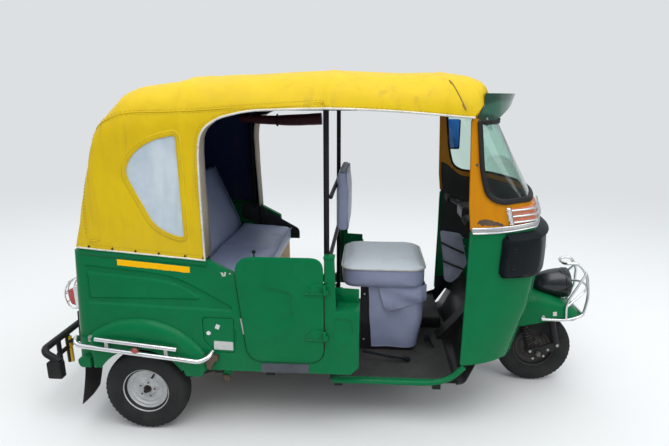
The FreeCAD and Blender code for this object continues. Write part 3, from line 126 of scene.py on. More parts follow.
def settle(piece):
    """Applies all modifiers, so that the mesh itself has the shape."""
    graph = bpy.context.evaluated_depsgraph_get()
    shaped = bpy.data.meshes.new_from_object(piece.evaluated_get(graph))
    piece.modifiers.clear()
    piece.data = shaped
    return piece


def modified(piece, kind, **values):
    """Adds one modifier with its values and applies it."""
    step = piece.modifiers.new(kind.lower(), kind)
    for key, value in values.items():
        setattr(step, key, value)
    return settle(piece)


def thickened(piece, thick, offset=0.0, **values):
    """Gives a skin its thickness: half to each side, or all of it inwards with offset -1."""
    return modified(piece, "SOLIDIFY", thickness=thick * MM, offset=offset, **values)


def turn_out(piece, outward):
    """Flips a skin whose faces, all added up, look away from the outward direction."""
    if sum(face.normal.dot(outward(face.center)) for face in piece.data.polygons) < 0:
        piece.data.flip_normals()
    return piece


def bevelled(piece, width, segments=2, angle=35):
    """Softens the edges by a width in millimetres."""
    modified(piece, "BEVEL", width=width * MM, segments=segments, limit_method="ANGLE",
             angle_limit=math.radians(30), harden_normals=False)
    return smooth(piece, angle)


def join(name, pieces, finish=None):
    """One object from several; each part keeps its own finish unless one is given for all."""
    for piece in pieces if finish else ():
        piece.data.materials.append(finish)
    with bpy.context.temp_override(active_object=pieces[0], selected_objects=pieces,
                                   selected_editable_objects=pieces):
        bpy.ops.object.join()
    pieces[0].name = name
    return pieces[0]


# %% Grids, tubes and turned pieces
def grid(name, rows, closed=False, angle=35, flip=False):
    """A skin through rows of points; closed joins the end of each row to its start."""
    count = len(rows[0])
    points = [p for row in rows for p in row]
    faces = []
    for r in range(len(rows) - 1):
        for c in range(count if closed else count - 1):
            a, b = r * count + c, r * count + (c + 1) % count
            quad = (a, b, b + count, a + count)
            faces.append(quad[::-1] if flip else quad)
    return new_piece(name, points, faces, angle)


def bent(before, corner, after, bend, steps, least=0.0):
    """Points of an arc-like curve that starts bend before the corner, at most half a side away."""
    back, ahead = before - corner, after - corner
    reach = min(bend, back.length * 0.49, ahead.length * 0.49)
    if reach < least:
        return [corner]
    start, end = corner + back.normalized() * reach, corner + ahead.normalized() * reach
    return [start * (1 - s) ** 2 + corner * 2 * s * (1 - s) + end * s ** 2
            for s in (k / steps for k in range(steps + 1))]


def rounded(route, bend, steps=6, closed=False):
    """The same route with each corner turned into a curve."""
    route = [Vector(p) for p in route]
    count = len(route)
    out = []
    for i, corner in enumerate(route):
        if not closed and i in (0, count - 1):
            out.append(corner)
        else:
            out += bent(route[i - 1], corner, route[(i + 1) % count], bend * MM, steps)
    return out


def frames_along(route, closed=False):
    """At each point of a route, two directions across it that never twist."""
    count = len(route)
    ways = []
    for i in range(count):
        before = route[i - 1] if closed or i else route[0]
        after = route[(i + 1) % count] if closed or i < count - 1 else route[-1]
        ways.append((after - before).normalized())
    side = ways[0].orthogonal().normalized()
    frames = []
    for way in ways:
        side = (side - way * side.dot(way)).normalized()
        frames.append((side, way.cross(side)))
    return frames


def sweep(name, route, radius, sides=12, closed=False, flat=1.0, angle=50):
    """A tube along a route. The radius is one number or one for each point; flat squeezes it."""
    rings = []
    for i, (side, up) in enumerate(frames_along(route, closed)):
        r = (radius[i] if isinstance(radius, (list, tuple)) else radius) * MM
        ring = []
        for k in range(sides):
            turn = 2 * math.pi * k / sides
            ring.append(route[i] + side * (r * math.cos(turn)) + up * (r * flat * math.sin(turn)))
        rings.append(ring)
    points = [p for ring in rings for p in ring]
    total = len(points)
    faces = []
    for r in range(len(rings) if closed else len(rings) - 1):
        for k in range(sides):
            a, b = r * sides + k, r * sides + (k + 1) % sides
            faces.append((a, b, (b + sides) % total, (a + sides) % total))
    if not closed:
        faces.append(tuple(reversed(range(sides))))
        faces.append(tuple(range(total - sides, total)))
    return new_piece(name, points, faces, angle)


def turned(name, profile, centre, axis=(0, 1, 0), sides=64, angle=40):
    """A profile of (along, radius) in millimetres, turned about an axis through a centre."""
    axis = Vector(axis).normalized()
    side = axis.orthogonal().normalized()
    up = axis.cross(side)
    rows = []
    for along, radius in profile:
        middle = centre + axis * (along * MM)
        rows.append([middle + (side * math.cos(2 * math.pi * k / sides)
                               + up * math.sin(2 * math.pi * k / sides)) * (max(radius, 0.01) * MM)
                     for k in range(sides)])
    return tidy_normals(grid(name, rows, closed=True, angle=angle))


def capped(profile):
    """Closes a turned profile at both ends on the axis."""
    return [(profile[0][0], 0)] + list(profile) + [(profile[-1][0], 0)]


PLANES = {
    "side": lambda a, b, depth: at(a, depth, b),
    "front": lambda a, b, depth: at(depth, a, b),
    "top": lambda a, b, depth: at(a, b, depth),
}


def slab(name, outline, low, high, plane="side", bevel=0.0, segments=2):
    """An outline in one plane, given depth from low to high, with softened edges."""
    to_point = PLANES[plane]
    count = len(outline)
    points = [to_point(a, b, low) for a, b in outline] + [to_point(a, b, high) for a, b in outline]
    faces = [tuple(range(count)), tuple(range(2 * count - 1, count - 1, -1))]
    for i in range(count):
        j = (i + 1) % count
        faces.append((i, i + count, j + count, j))
    piece = tidy_normals(new_piece(name, points, faces))
    return bevelled(piece, bevel, segments) if bevel else piece


def side_slab(name, outline, side, near, far, **values):
    """A slab on one side of the vehicle, between two distances from the centre line."""
    return slab(name, outline, *sorted((side * near, side * far)), **values)


def round_corners(outline, bend, steps=6):
    """Rounds a flat outline; bend is one size or one for each corner."""
    corners = [Vector(p) for p in outline]
    out = []
    for i, corner in enumerate(corners):
        size = bend[i] if isinstance(bend, (list, tuple)) else bend
        out += bent(corners[i - 1], corner, corners[(i + 1) % len(corners)], size, steps, least=0.5)
    return [(p.x, p.y) for p in out]


def rod(name, start, end, radius, sides=14):
    """A straight round bar."""
    return sweep(name, [start, end], radius, sides)


def cut(piece, tool):
    """Takes one closed shape out of another."""
    modified(piece, "BOOLEAN", operation="DIFFERENCE", object=tool, solver="EXACT")
    bpy.data.objects.remove(tool)
    return piece


# %% [markdown]
# Every finished piece is dressed in one call: its material, the CAD body that it moves with, and the plain
# CAD nodes that it replaces. A table further down tells which slot each material stands for.

# %% Dress a piece and measure flat places
SIDES = ((-1, "right"), (1, "left"))
SLOT_OF = {}


def dress(piece, finish=None, slot=None, body="chassis", replaces=()):
    """Without a finish the piece keeps the ones it has; the slot is not used."""
    if finish is not None:
        piece.data.materials.clear()
        piece.data.materials.append(finish)
        slot = slot or SLOT_OF[finish.name]
    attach(piece, body)
    if replaces:
        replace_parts(piece, *replaces)
    return piece


def smoothstep(value, low, high):
    """A share that rises softly from 0 at low to 1 at high."""
    share = min(1.0, max(0.0, (value - low) / (high - low)))
    return share * share * (3 - 2 * share)


def distance_to(x, z, route):
    """How far a flat point lies from a run of straight lines."""
    best = 1e9
    for (ax, az), (bx, bz) in zip(route, route[1:]):
        dx, dz = bx - ax, bz - az
        share = min(1.0, max(0.0, ((x - ax) * dx + (z - az) * dz) / (dx * dx + dz * dz)))
        best = min(best, math.hypot(x - ax - share * dx, z - az - share * dz))
    return best

# %% [markdown]
# Paint, canvas, vinyl and rubber share a few effects: dust that gathers low down, streaks left by
# rain, a mottled colour, fine grain, weave, leather creases, scratches and worn edges. Each effect
# is a shader node group built once; a material places it with its own values. A small class adds
# nodes by name, so that a material reads as a list of steps.

# %% A helper that adds nodes
class Graph:
    """Adds nodes to one tree. An input is a value or another node's output."""

    def __init__(self, tree):
        self.tree = tree

    def add(self, kind, inputs=None, out=0, **settings):
        node = self.tree.nodes.new(kind)
        for key, value in settings.items():
            setattr(node, key, value)
        for key, value in (inputs or {}).items():
            self.feed(node.inputs[key], value)
        return node.outputs[out]

    def feed(self, socket, value):
        if isinstance(value, bpy.types.NodeSocket):
            self.tree.links.new(value, socket)
        else:
            socket.default_value = value

    def math(self, operation, a, b=0.0, clamp=False):
        return self.add("ShaderNodeMath", {0: a, 1: b}, operation=operation, use_clamp=clamp)

    def mix(self, share, a, b, blend="MIX"):
        return self.add("ShaderNodeMix", {0: share, 6: a, 7: b}, out=2, data_type="RGBA", blend_type=blend)

    def remap(self, value, low, high, to_low=0.0, to_high=1.0):
        return self.add("ShaderNodeMapRange", {"Value": value, "From Min": low, "From Max": high,
                                               "To Min": to_low, "To Max": to_high},
                        interpolation_type="SMOOTHSTEP")

    def place(self, scale=(1, 1, 1), turn=(0, 0, 0)):
        where = self.add("ShaderNodeTexCoord", out="Object")
        return self.add("ShaderNodeMapping", {"Vector": where, "Scale": scale, "Rotation": turn})

    def noise(self, scale, detail=3.0, where=None, rough=0.5, warp=0.0):
        inputs = {"Scale": scale, "Detail": detail, "Roughness": rough, "Distortion": warp}
        inputs["Vector"] = where if where is not None else self.add("ShaderNodeTexCoord", out="Object")
        return self.add("ShaderNodeTexNoise", inputs)

    def bump(self, height, distance, strength=1.0, normal=None):
        inputs = {"Height": height, "Distance": distance, "Strength": strength}
        if normal is not None:
            inputs["Normal"] = normal
        return self.add("ShaderNodeBump", inputs)


def new_group(name, numbers, outputs):
    """An empty group with number inputs and named outputs; returns its graph, inputs and end."""
    tree = bpy.data.node_groups.new(name, "ShaderNodeTree")
    for label, value in numbers.items():
        socket = tree.interface.new_socket(label, in_out="INPUT", socket_type="NodeSocketFloat")
        socket.default_value = value
    for label in outputs:
        tree.interface.new_socket(label, in_out="OUTPUT", socket_type="NodeSocketFloat")
    start = tree.nodes.new("NodeGroupInput")
    end = tree.nodes.new("NodeGroupOutput")
    return Graph(tree), start.outputs, end.inputs


# %% Groups that colour a surface
def make_dust():
    """Dust and splashed dirt: most of it near the ground and on faces that look up."""
    g, given, end = new_group("Dust", {"Top": 0.7, "Low": 0.6, "Up": 0.2}, ["Mask"])
    where = g.add("ShaderNodeTexCoord", out="Object")
    height = g.add("ShaderNodeSeparateXYZ", {0: where}, out="Z")
    low = g.math("SUBTRACT", 1.0, g.math("DIVIDE", height, given["Top"]), clamp=True)
    up = g.add("ShaderNodeSeparateXYZ", {0: g.add("ShaderNodeNewGeometry", out="Normal")}, out="Z")
    up = g.math("MULTIPLY", g.math("MAXIMUM", up, 0.0), given["Up"])
    patchy = g.remap(g.noise(7.0, 6.0, rough=0.65), 0.3, 0.75, 0.25, 1.0)
    fine = g.remap(g.noise(90.0, 3.0), 0.3, 0.7, 0.7, 1.0)
    total = g.math("ADD", g.math("MULTIPLY", low, given["Low"]), up)
    g.feed(end["Mask"], g.math("MULTIPLY", g.math("MULTIPLY", total, patchy), fine, clamp=True))
    return g.tree


def make_streaks():
    """Thin upright marks where rain ran down."""
    g, given, end = new_group("Streaks", {"Width": 45.0, "Amount": 0.3}, ["Mask"])
    where = g.place(scale=(1.0, 1.0, 0.06))
    lines = g.remap(g.noise(given["Width"], 4.0, where, rough=0.6), 0.48, 0.74)
    patches = g.remap(g.noise(3.0, 2.0), 0.35, 0.65)
    g.feed(end["Mask"], g.math("MULTIPLY", g.math("MULTIPLY", lines, patches), given["Amount"], clamp=True))
    return g.tree


def make_mottle():
    """A slow change of shade, as of sun-faded cloth or polished paint: 0.5 is the plain shade."""
    g, given, end = new_group("Mottle", {"Scale": 4.0, "Contrast": 0.3}, ["Shade"])
    broad = g.noise(given["Scale"], 4.0, rough=0.6)
    small = g.noise(g.math("MULTIPLY", given["Scale"], 9.0), 3.0)
    mixed = g.math("ADD", g.math("MULTIPLY", broad, 0.7), g.math("MULTIPLY", small, 0.3))
    centred = g.math("MULTIPLY", g.math("SUBTRACT", mixed, 0.5), given["Contrast"])
    g.feed(end["Shade"], g.math("ADD", g.math("MULTIPLY", centred, 3.0), 0.5, clamp=True))
    return g.tree


def make_scratches():
    """Fine scratches in two directions, in patches."""
    g, given, end = new_group("Scratches", {"Scale": 30.0, "Amount": 0.5}, ["Mask"])
    total = None
    for turn in ((0.3, 0.2, 0.5), (0.9, 1.1, -0.4)):
        where = g.place(scale=(1.0, 0.12, 1.0), turn=turn)
        cells = g.add("ShaderNodeTexVoronoi", {"Vector": where, "Scale": given["Scale"], "Randomness": 1.0},
                      feature="DISTANCE_TO_EDGE")
        lines = g.remap(cells, 0.0, 0.035, 1.0, 0.0)
        total = lines if total is None else g.math("MAXIMUM", total, lines)
    patches = g.remap(g.noise(5.0, 3.0), 0.52, 0.66)
    g.feed(end["Mask"], g.math("MULTIPLY", g.math("MULTIPLY", total, patches), given["Amount"], clamp=True))
    return g.tree


def make_edge_wear():
    """Edges rubbed bare: where a softened normal turns away from the real one."""
    g, given, end = new_group("Edge_wear", {"Radius": 0.004, "Amount": 0.6}, ["Mask"])
    soft = g.add("ShaderNodeBevel", {"Radius": given["Radius"]}, samples=4)
    sharp = g.add("ShaderNodeNewGeometry", out="Normal")
    apart = g.math("SUBTRACT", 1.0, g.add("ShaderNodeVectorMath", {0: soft, 1: sharp}, out="Value",
                                          operation="DOT_PRODUCT"))
    edge = g.remap(apart, 0.01, 0.10)
    broken = g.remap(g.noise(40.0, 5.0, rough=0.7), 0.42, 0.62)
    g.feed(end["Mask"], g.math("MULTIPLY", g.math("MULTIPLY", edge, broken), given["Amount"], clamp=True))
    return g.tree


# %% Groups that give a surface its relief
def make_grain():
    """Fine uneven height: orange peel in paint, or the grain of moulded plastic."""
    g, given, end = new_group("Grain", {"Scale": 400.0, "Wave": 0.3}, ["Height"])
    fine = g.noise(given["Scale"], 2.0)
    slow = g.math("MULTIPLY", g.noise(12.0, 2.0), given["Wave"])
    g.feed(end["Height"], g.math("ADD", fine, slow))
    return g.tree


def make_weave():
    """Two sets of threads that cross; it needs no unwrapping because it runs through space."""
    g, given, end = new_group("Weave", {"Threads": 900.0}, ["Height"])
    where = g.add("ShaderNodeSeparateXYZ", {0: g.add("ShaderNodeTexCoord", out="Object")})
    axes = where.node.outputs
    warp = g.math("MULTIPLY", g.math("ADD", axes["X"], g.math("MULTIPLY", axes["Y"], 0.5)), given["Threads"])
    weft = g.math("MULTIPLY", g.math("ADD", axes["Z"], g.math("MULTIPLY", axes["Y"], 0.5)), given["Threads"])
    threads = g.math("MULTIPLY", g.math("SINE", warp), g.math("SINE", weft))
    slub = g.noise(600.0, 3.0)
    g.feed(end["Height"], g.math("ADD", g.math("MULTIPLY", threads, 0.5), slub))
    return g.tree


def make_leather():
    """Small cells with creased borders, and a slower puckering."""
    g, given, end = new_group("Leather", {"Scale": 420.0, "Pucker": 0.6}, ["Height"])
    cells = g.add("ShaderNodeTexVoronoi", {"Vector": g.add("ShaderNodeTexCoord", out="Object"),
                                           "Scale": given["Scale"]}, feature="SMOOTH_F1")
    slow = g.math("MULTIPLY", g.noise(26.0, 4.0, warp=0.6), given["Pucker"])
    g.feed(end["Height"], g.math("SUBTRACT", slow, cells))
    return g.tree


GROUPS = {
    "dust": make_dust(), "streaks": make_streaks(), "mottle": make_mottle(),
    "scratches": make_scratches(), "edge wear": make_edge_wear(), "grain": make_grain(),
    "weave": make_weave(), "leather": make_leather(),
}
print("shader groups:", ", ".join(sorted(GROUPS)))

# %% [markdown]
# A finish starts from its plain shader values and then layers the groups over its colour. Values
# that are the same all over the surface stay on the shader's own sockets, because an exporter can
# carry those across.

# %% A finish, built up in layers
DUST = (0.20, 0.185, 0.16, 1)
DIRT = (0.06, 0.05, 0.04, 1)


def colour(red, green, blue):
    """A linear colour with full cover."""
    return (red, green, blue, 1)


class Finish(Graph):
    """A material whose colour, roughness and relief are built up in layers."""

    def __init__(self, name, base, rough, **plain):
        self.material = bpy.data.materials.new(name)
        self.material.use_nodes = True
        super().__init__(self.material.node_tree)
        self.shader = self.tree.nodes["Principled BSDF"]
        for key, value in plain.items():
            label = key.replace("_", " ").title().replace("Ior", "IOR")
            self.shader.inputs[label].default_value = value
        self.base = base
        self.rough = rough
        self.normal = None

    def group(self, name, **values):
        node = self.tree.nodes.new("ShaderNodeGroup")
        node.node_tree = GROUPS[name]
        for key, value in values.items():
            self.feed(node.inputs[key.title()], value)
        return node.outputs[0]

    def shade(self, darker, lighter, scale=4.0, contrast=0.3):
        """Lets the base colour wander between two shades."""
        self.base = self.mix(self.group("mottle", scale=scale, contrast=contrast), darker, lighter)
        return self

    def cover(self, mask, tint, rough=None):
        """Lays another colour over the base where the mask is white."""
        self.base = self.mix(mask, self.base, tint)
        if rough is not None:
            self.rough = self.add("ShaderNodeMix", {0: mask, 2: self.rough, 3: rough})
        return self

    def dusty(self, top=0.7, low=0.6, up=0.2, tint=DUST):
        return self.cover(self.group("dust", top=top, low=low, up=up), tint, 0.85)

    def streaked(self, width=45.0, amount=0.3, tint=DIRT):
        return self.cover(self.group("streaks", width=width, amount=amount), tint, 0.6)

    def relief(self, height, distance, strength=1.0):
        self.normal = self.bump(height, distance, strength, self.normal)
        return self

    def done(self):
        self.feed(self.shader.inputs["Base Color"], self.base)
        self.feed(self.shader.inputs["Roughness"], self.rough)
        if self.normal is not None:
            self.feed(self.shader.inputs["Normal"], self.normal)
        return self.material


# %% [markdown]
# The enamel is a deep gloss green, sprayed over pressed steel: its surface has a faint orange peel,
# a thin veil of road dust on the lower panels, and small bare chips along the edges. The same
# recipe with other colours gives the orange upper front, the ochre bench board and the black tubes.

# %% Painted metal
def enamel(name, dark, light, rough=0.24, coat=0.09, low=0.10, up=0.03, top=0.6, chips=0.5, bare=DIRT):
    f = Finish(name, dark, rough, coat_weight=coat, coat_roughness=0.04, specular_ior_level=0.05)
    f.shade(dark, light, scale=2.5, contrast=0.5)
    f.cover(f.group("scratches", scale=26.0, amount=0.14), light)
    f.streaked(55.0, 0.10)
    f.dusty(top, low, up)
    f.cover(f.group("edge wear", radius=0.003, amount=chips), bare, 0.6)
    f.relief(f.group("grain", scale=160.0, wave=0.5), 0.0002)
    return f.done()


GREEN = enamel("Green_enamel", colour(0.0, 0.112, 0.034), colour(0.0, 0.158, 0.054), chips=0.3)
ORANGE = enamel("Orange_enamel", colour(0.47, 0.170, 0.002), colour(0.57, 0.225, 0.004), low=0.0)
OCHRE = enamel("Ochre_enamel", colour(0.42, 0.20, 0.02), colour(0.55, 0.28, 0.03), rough=0.45, low=0.4)
BLACK = enamel("Black_tube_paint", colour(0.008, 0.008, 0.009), colour(0.020, 0.020, 0.022), rough=0.35,
               low=0.12, up=0.05, top=0.5, bare=colour(0.22, 0.20, 0.18))


# %% Plated and bare metal
def plated(name, tint, rough, spots):
    f = Finish(name, tint, rough, metallic=1.0)
    f.shade(tint, colour(*(c * 0.8 for c in tint[:3])), scale=14.0, contrast=0.6)
    f.cover(f.group("scratches", scale=60.0, amount=0.35), colour(0.35, 0.34, 0.33), 0.5)
    f.dusty(0.8, 0.35, 0.12)
    pits = f.remap(f.noise(140.0, 4.0, rough=0.7), 0.62, 0.70, 0.0, spots)
    f.cover(pits, colour(0.16, 0.07, 0.03), 0.8)
    return f.done()


CHROME = plated("Chrome", colour(0.78, 0.79, 0.80), 0.13, 0.55)
STEEL = plated("Brushed_steel", colour(0.48, 0.48, 0.47), 0.42, 0.8)


def wheel_paint(name, dark, light, low):
    f = Finish(name, dark, 0.42, metallic=0.35)
    f.shade(dark, light, scale=18.0, contrast=0.7)
    f.streaked(80.0, 0.5, colour(0.10, 0.075, 0.05))
    f.dusty(0.45, low, 0.0)
    f.cover(f.group("edge wear", radius=0.004, amount=0.8), colour(0.12, 0.09, 0.07), 0.7)
    f.cover(f.remap(f.noise(60.0, 5.0, rough=0.7), 0.6, 0.72, 0.0, 0.6), colour(0.14, 0.07, 0.035), 0.85)
    f.relief(f.noise(250.0, 3.0), 0.0004)
    return f.done()


RIM_SILVER = wheel_paint("Rim_silver", colour(0.36, 0.37, 0.37), colour(0.58, 0.59, 0.59), 0.16)
RUSTY = wheel_paint("Rusty_hub", colour(0.05, 0.032, 0.022), colour(0.13, 0.085, 0.05), 0.3)
RIM_BLACK = wheel_paint("Rim_black", colour(0.018, 0.018, 0.018), colour(0.045, 0.042, 0.04), 0.2)


def cast_metal():
    f = Finish("Oily_castings", colour(0.10, 0.10, 0.10), 0.5, metallic=0.6)
    f.shade(colour(0.05, 0.05, 0.048), colour(0.20, 0.19, 0.18), scale=11.0, contrast=0.9)
    f.dusty(0.8, 0.6, 0.3)
    f.relief(f.noise(90.0, 5.0, rough=0.65), 0.0012)
    return f.done()


CASTING = cast_metal()


# %% [markdown]
# The canopy is cotton canvas with a plastic coating. Seen close it has a faint weave; from a step
# away it has soft fading, dust in the folds and brown runs below the seams. The lining is a dark
# navy cloth, and the seats are embossed vinyl.

# %% Cloth and vinyl
def coated_canvas(name, dark, light, rough=0.52, grime=0.35):
    f = Finish(name, dark, rough, sheen_weight=0.0, specular_ior_level=0.2)
    f.shade(dark, light, scale=2.2, contrast=0.75)
    f.streaked(24.0, grime, colour(0.30, 0.17, 0.03))
    specks = f.remap(f.noise(55.0, 6.0, rough=0.75), 0.60, 0.74, 0.0, 0.35)
    f.cover(specks, colour(0.34, 0.22, 0.05), 0.8)
    f.dusty(1.1, 0.30, 0.10, colour(0.50, 0.40, 0.20))
    f.relief(f.group("weave", threads=2200.0), 0.0003, 0.6)
    f.relief(f.noise(16.0, 4.0, warp=0.4), 0.004, 0.35)
    return f.done()


CANVAS = coated_canvas("Yellow_canvas", colour(0.55, 0.365, 0.0), colour(0.66, 0.460, 0.001))
SEAM_TAPE = coated_canvas("Brown_stitching", colour(0.20, 0.12, 0.03), colour(0.30, 0.19, 0.05), 0.8)
LINING = coated_canvas("Navy_lining", colour(0.008, 0.018, 0.062), colour(0.014, 0.030, 0.095), 0.75, 0.1)
LINER_STRIP = coated_canvas("Beige_liner", colour(0.26, 0.22, 0.18), colour(0.36, 0.32, 0.27), 0.7)


def piping():
    f = Finish("White_piping", colour(0.62, 0.62, 0.58), 0.4, coat_weight=0.2)
    f.shade(colour(0.42, 0.40, 0.33), colour(0.74, 0.74, 0.70), scale=9.0, contrast=0.8)
    f.cover(f.remap(f.noise(34.0, 5.0, rough=0.7), 0.55, 0.72, 0.0, 0.6), colour(0.28, 0.22, 0.13), 0.8)
    return f.done()


PIPING = piping()


def vinyl(name, dark, light, rough=0.38):
    f = Finish(name, dark, rough, coat_weight=0.15, coat_roughness=0.25)
    f.shade(dark, light, scale=3.2, contrast=0.6)
    f.cover(f.group("scratches", scale=18.0, amount=0.25), light)
    stains = f.remap(f.noise(6.0, 6.0, rough=0.7), 0.55, 0.75, 0.0, 0.35)
    f.cover(stains, colour(0.10, 0.095, 0.10), 0.6)
    f.dusty(0.9, 0.10, 0.10, colour(0.40, 0.37, 0.33))
    f.relief(f.group("leather", scale=330.0, pucker=0.5), 0.0006, 0.7)
    return f.done()


# The seat top is the grey-blue vinyl painted much paler: a painted highlight standing in for sky light on the
# top.
SEAT_TOP_PAINTED_SKYLIGHT = vinyl("Pale_seat_vinyl", colour(0.82, 0.90, 0.97), colour(0.90, 0.95, 0.99), 0.34)
SEAT_SIDE = vinyl("Grey_blue_vinyl", colour(0.21, 0.235, 0.36), colour(0.29, 0.32, 0.47))
BENCH_VINYL = vinyl("Bench_vinyl", colour(0.20, 0.24, 0.38), colour(0.30, 0.345, 0.52))


# %% Rubber and plastic
def rubbery(name, dark, light, rough=0.75, low=0.7, up=0.25, grain=0.0006):
    f = Finish(name, dark, rough, specular_ior_level=0.14)
    f.shade(dark, light, scale=8.0, contrast=0.7)
    f.dusty(0.6, low, up)
    f.relief(f.group("grain", scale=420.0, wave=0.2), grain)
    return f.done()


TYRE = rubbery("Tyre_rubber", colour(0.008, 0.010, 0.010), colour(0.022, 0.025, 0.025), 0.75, 0.10, 0.03)
RUBBER = rubbery("Black_rubber", colour(0.010, 0.010, 0.011), colour(0.022, 0.022, 0.023), 0.6, 0.2, 0.08)


def ribbed_mat():
    f = Finish("Diagonal_ribbed_mat", colour(0.030, 0.032, 0.034), 0.7)
    f.shade(colour(0.018, 0.019, 0.021), colour(0.055, 0.057, 0.058), scale=6.0, contrast=0.9)
    f.dusty(1.5, 0.25, 0.18)
    axes = f.add("ShaderNodeSeparateXYZ", {0: f.add("ShaderNodeTexCoord", out="Object")}).node.outputs
    slant = f.math("MULTIPLY", f.math("ADD", axes["X"], f.math("MULTIPLY", axes["Y"], 0.8)), 420.0)
    ribs = f.math("SINE", slant)
    # The troughs between the ribs are painted darker: painted shade in the grooves.
    f.cover(f.remap(ribs, -1.0, -0.2, 0.6, 0.0), colour(0.006, 0.006, 0.006))
    f.relief(ribs, 0.003)
    return f.done()


RIBBED = ribbed_mat()


def moulded(name, dark, light, rough=0.42, shine=0.4):
    f = Finish(name, dark, rough, specular_ior_level=shine)
    f.shade(dark, light, scale=6.0, contrast=0.6)
    f.streaked(60.0, 0.08, colour(0.10, 0.09, 0.08))
    f.dusty(0.4, 0.03, 0.01)
    f.relief(f.group("grain", scale=520.0, wave=0.1), 0.0004, 0.8)
    return f.done()


PLASTIC = moulded("Dark_moulding", colour(0.004, 0.006, 0.008), colour(0.010, 0.014, 0.017), 0.36, 0.06)
DARK_LINING = moulded("Dark_inner_lining", colour(0.022, 0.023, 0.023), colour(0.036, 0.036, 0.035), 0.6, 0.3)
GLOSS_BLACK = moulded("Gloss_black_shell", colour(0.006, 0.008, 0.010), colour(0.014, 0.017, 0.021), 0.2, 0.5)
BLANK_PLATE = moulded("Blank_plate", colour(0.50, 0.50, 0.48), colour(0.68, 0.68, 0.66), 0.45)
WORN_PLATE = moulded("Worn_plate", colour(0.30, 0.31, 0.30), colour(0.66, 0.66, 0.64), 0.4)
STRIPE = moulded("Orange_stripe", colour(0.84, 0.42, 0.0), colour(0.90, 0.48, 0.002), 0.4, 0.1)
STEP_RUBBER = moulded("Grey_step_plate", colour(0.035, 0.040, 0.050), colour(0.085, 0.095, 0.115), 0.55)
MAROON = moulded("Maroon_roll", colour(0.045, 0.006, 0.010), colour(0.085, 0.012, 0.018), 0.6)
YELLOW_TAPE = moulded("Yellow_strip", colour(0.66, 0.36, 0.004), colour(0.78, 0.46, 0.01), 0.4)
BLUE_CAP = moulded("Blue_mirror_back", colour(0.01, 0.10, 0.42), colour(0.02, 0.15, 0.55), 0.3)
POUCH = moulded("Grey_pouch", colour(0.13, 0.14, 0.19), colour(0.20, 0.21, 0.27), 0.6)


# %% Glass, film and lenses
def clear_sheet(name, tint, rough, smear, alpha=1.0, through=1.0):
    f = Finish(name, tint, rough, transmission_weight=through, ior=1.3, alpha=alpha)
    f.shade(tint, colour(*(min(1.0, c * 1.1) for c in tint[:3])), scale=5.0, contrast=0.4)
    f.rough = f.remap(f.noise(9.0, 5.0, rough=0.7), 0.35, 0.8, rough, rough + smear)
    f.relief(f.noise(7.0, 2.0), 0.0015, 0.3)
    return f.done()


GLASS = clear_sheet("Windscreen_glass", colour(0.62, 0.78, 0.72), 0.02, 0.05)
TINT = clear_sheet("Green_visor_tint", colour(0.05, 0.16, 0.11), 0.05, 0.10, through=0.75)


def window_film():
    f = Finish("Milky_window_film", colour(0.48, 0.56, 0.62), 0.16, coat_weight=0.3, transmission_weight=0.15)
    f.shade(colour(0.40, 0.48, 0.54), colour(0.58, 0.66, 0.72), scale=3.0, contrast=0.8)
    creases = f.remap(f.noise(5.0, 3.0, f.place(scale=(1.0, 1.0, 0.35), turn=(0.0, 0.9, 0.0))), 0.55, 0.7,
                      0.0, 0.5)
    f.cover(creases, colour(0.72, 0.78, 0.82))
    f.streaked(35.0, 0.25, colour(0.36, 0.38, 0.38))
    f.relief(f.noise(6.0, 3.0, warp=0.5), 0.006, 0.5)
    return f.done()


FILM = window_film()


def lens(name, dark, light, ribs):
    f = Finish(name, dark, 0.12, coat_weight=0.6)
    f.shade(dark, light, scale=20.0, contrast=0.6)
    f.dusty(1.2, 0.2, 0.1)
    rows = f.math("SINE", f.math("MULTIPLY", f.add("ShaderNodeSeparateXYZ", {0: f.place()}, out="Z"), ribs))
    f.relief(rows, 0.0008)
    return f.done()


AMBER = lens("Amber_lens", colour(0.34, 0.06, 0.01), colour(0.62, 0.16, 0.03), 900.0)
RED = lens("Red_lens", colour(0.30, 0.008, 0.006), colour(0.60, 0.02, 0.015), 900.0)
print("finishes:", len(bpy.data.materials))

# %% The record's slot of each finish; the first of a slot also dresses the CAD nodes that stay
SLOTS = {
    "green_paint": [GREEN], "yellow_paint": [ORANGE, YELLOW_TAPE], "ochre_paint": [OCHRE],
    "black_paint": [BLACK], "dark_plastic": [PLASTIC, GLOSS_BLACK, DARK_LINING, BLANK_PLATE, BLUE_CAP],
    "seat_vinyl": [SEAT_SIDE, BENCH_VINYL, POUCH], "tyre": [TYRE], "wheel_silver": [RIM_SILVER],
    "wheel_dark": [RIM_BLACK], "chrome": [CHROME, STEEL, RUSTY], "glass": [GLASS], "window_film": [FILM],
    "green_tint": [TINT], "amber": [AMBER], "red_lens": [RED], "rubber": [RUBBER, RIBBED, STEP_RUBBER],
    "engine_metal": [CASTING], "yellow_cloth": [CANVAS, PIPING, SEAM_TAPE, LINER_STRIP, MAROON],
}
SLOT_OF.update({finish.name: slot for slot, finishes in SLOTS.items() for finish in finishes})
print("slots with a finish:", len(SLOTS))

# %% [markdown]
# The object stands on a plain pale floor under a wide, soft, overcast light. The camera has the
# place, height and lens of a phone held at eye level beside the vehicle's right side.

# %% Floor and light
HORIZON = (0.72, 0.745, 0.76, 1)


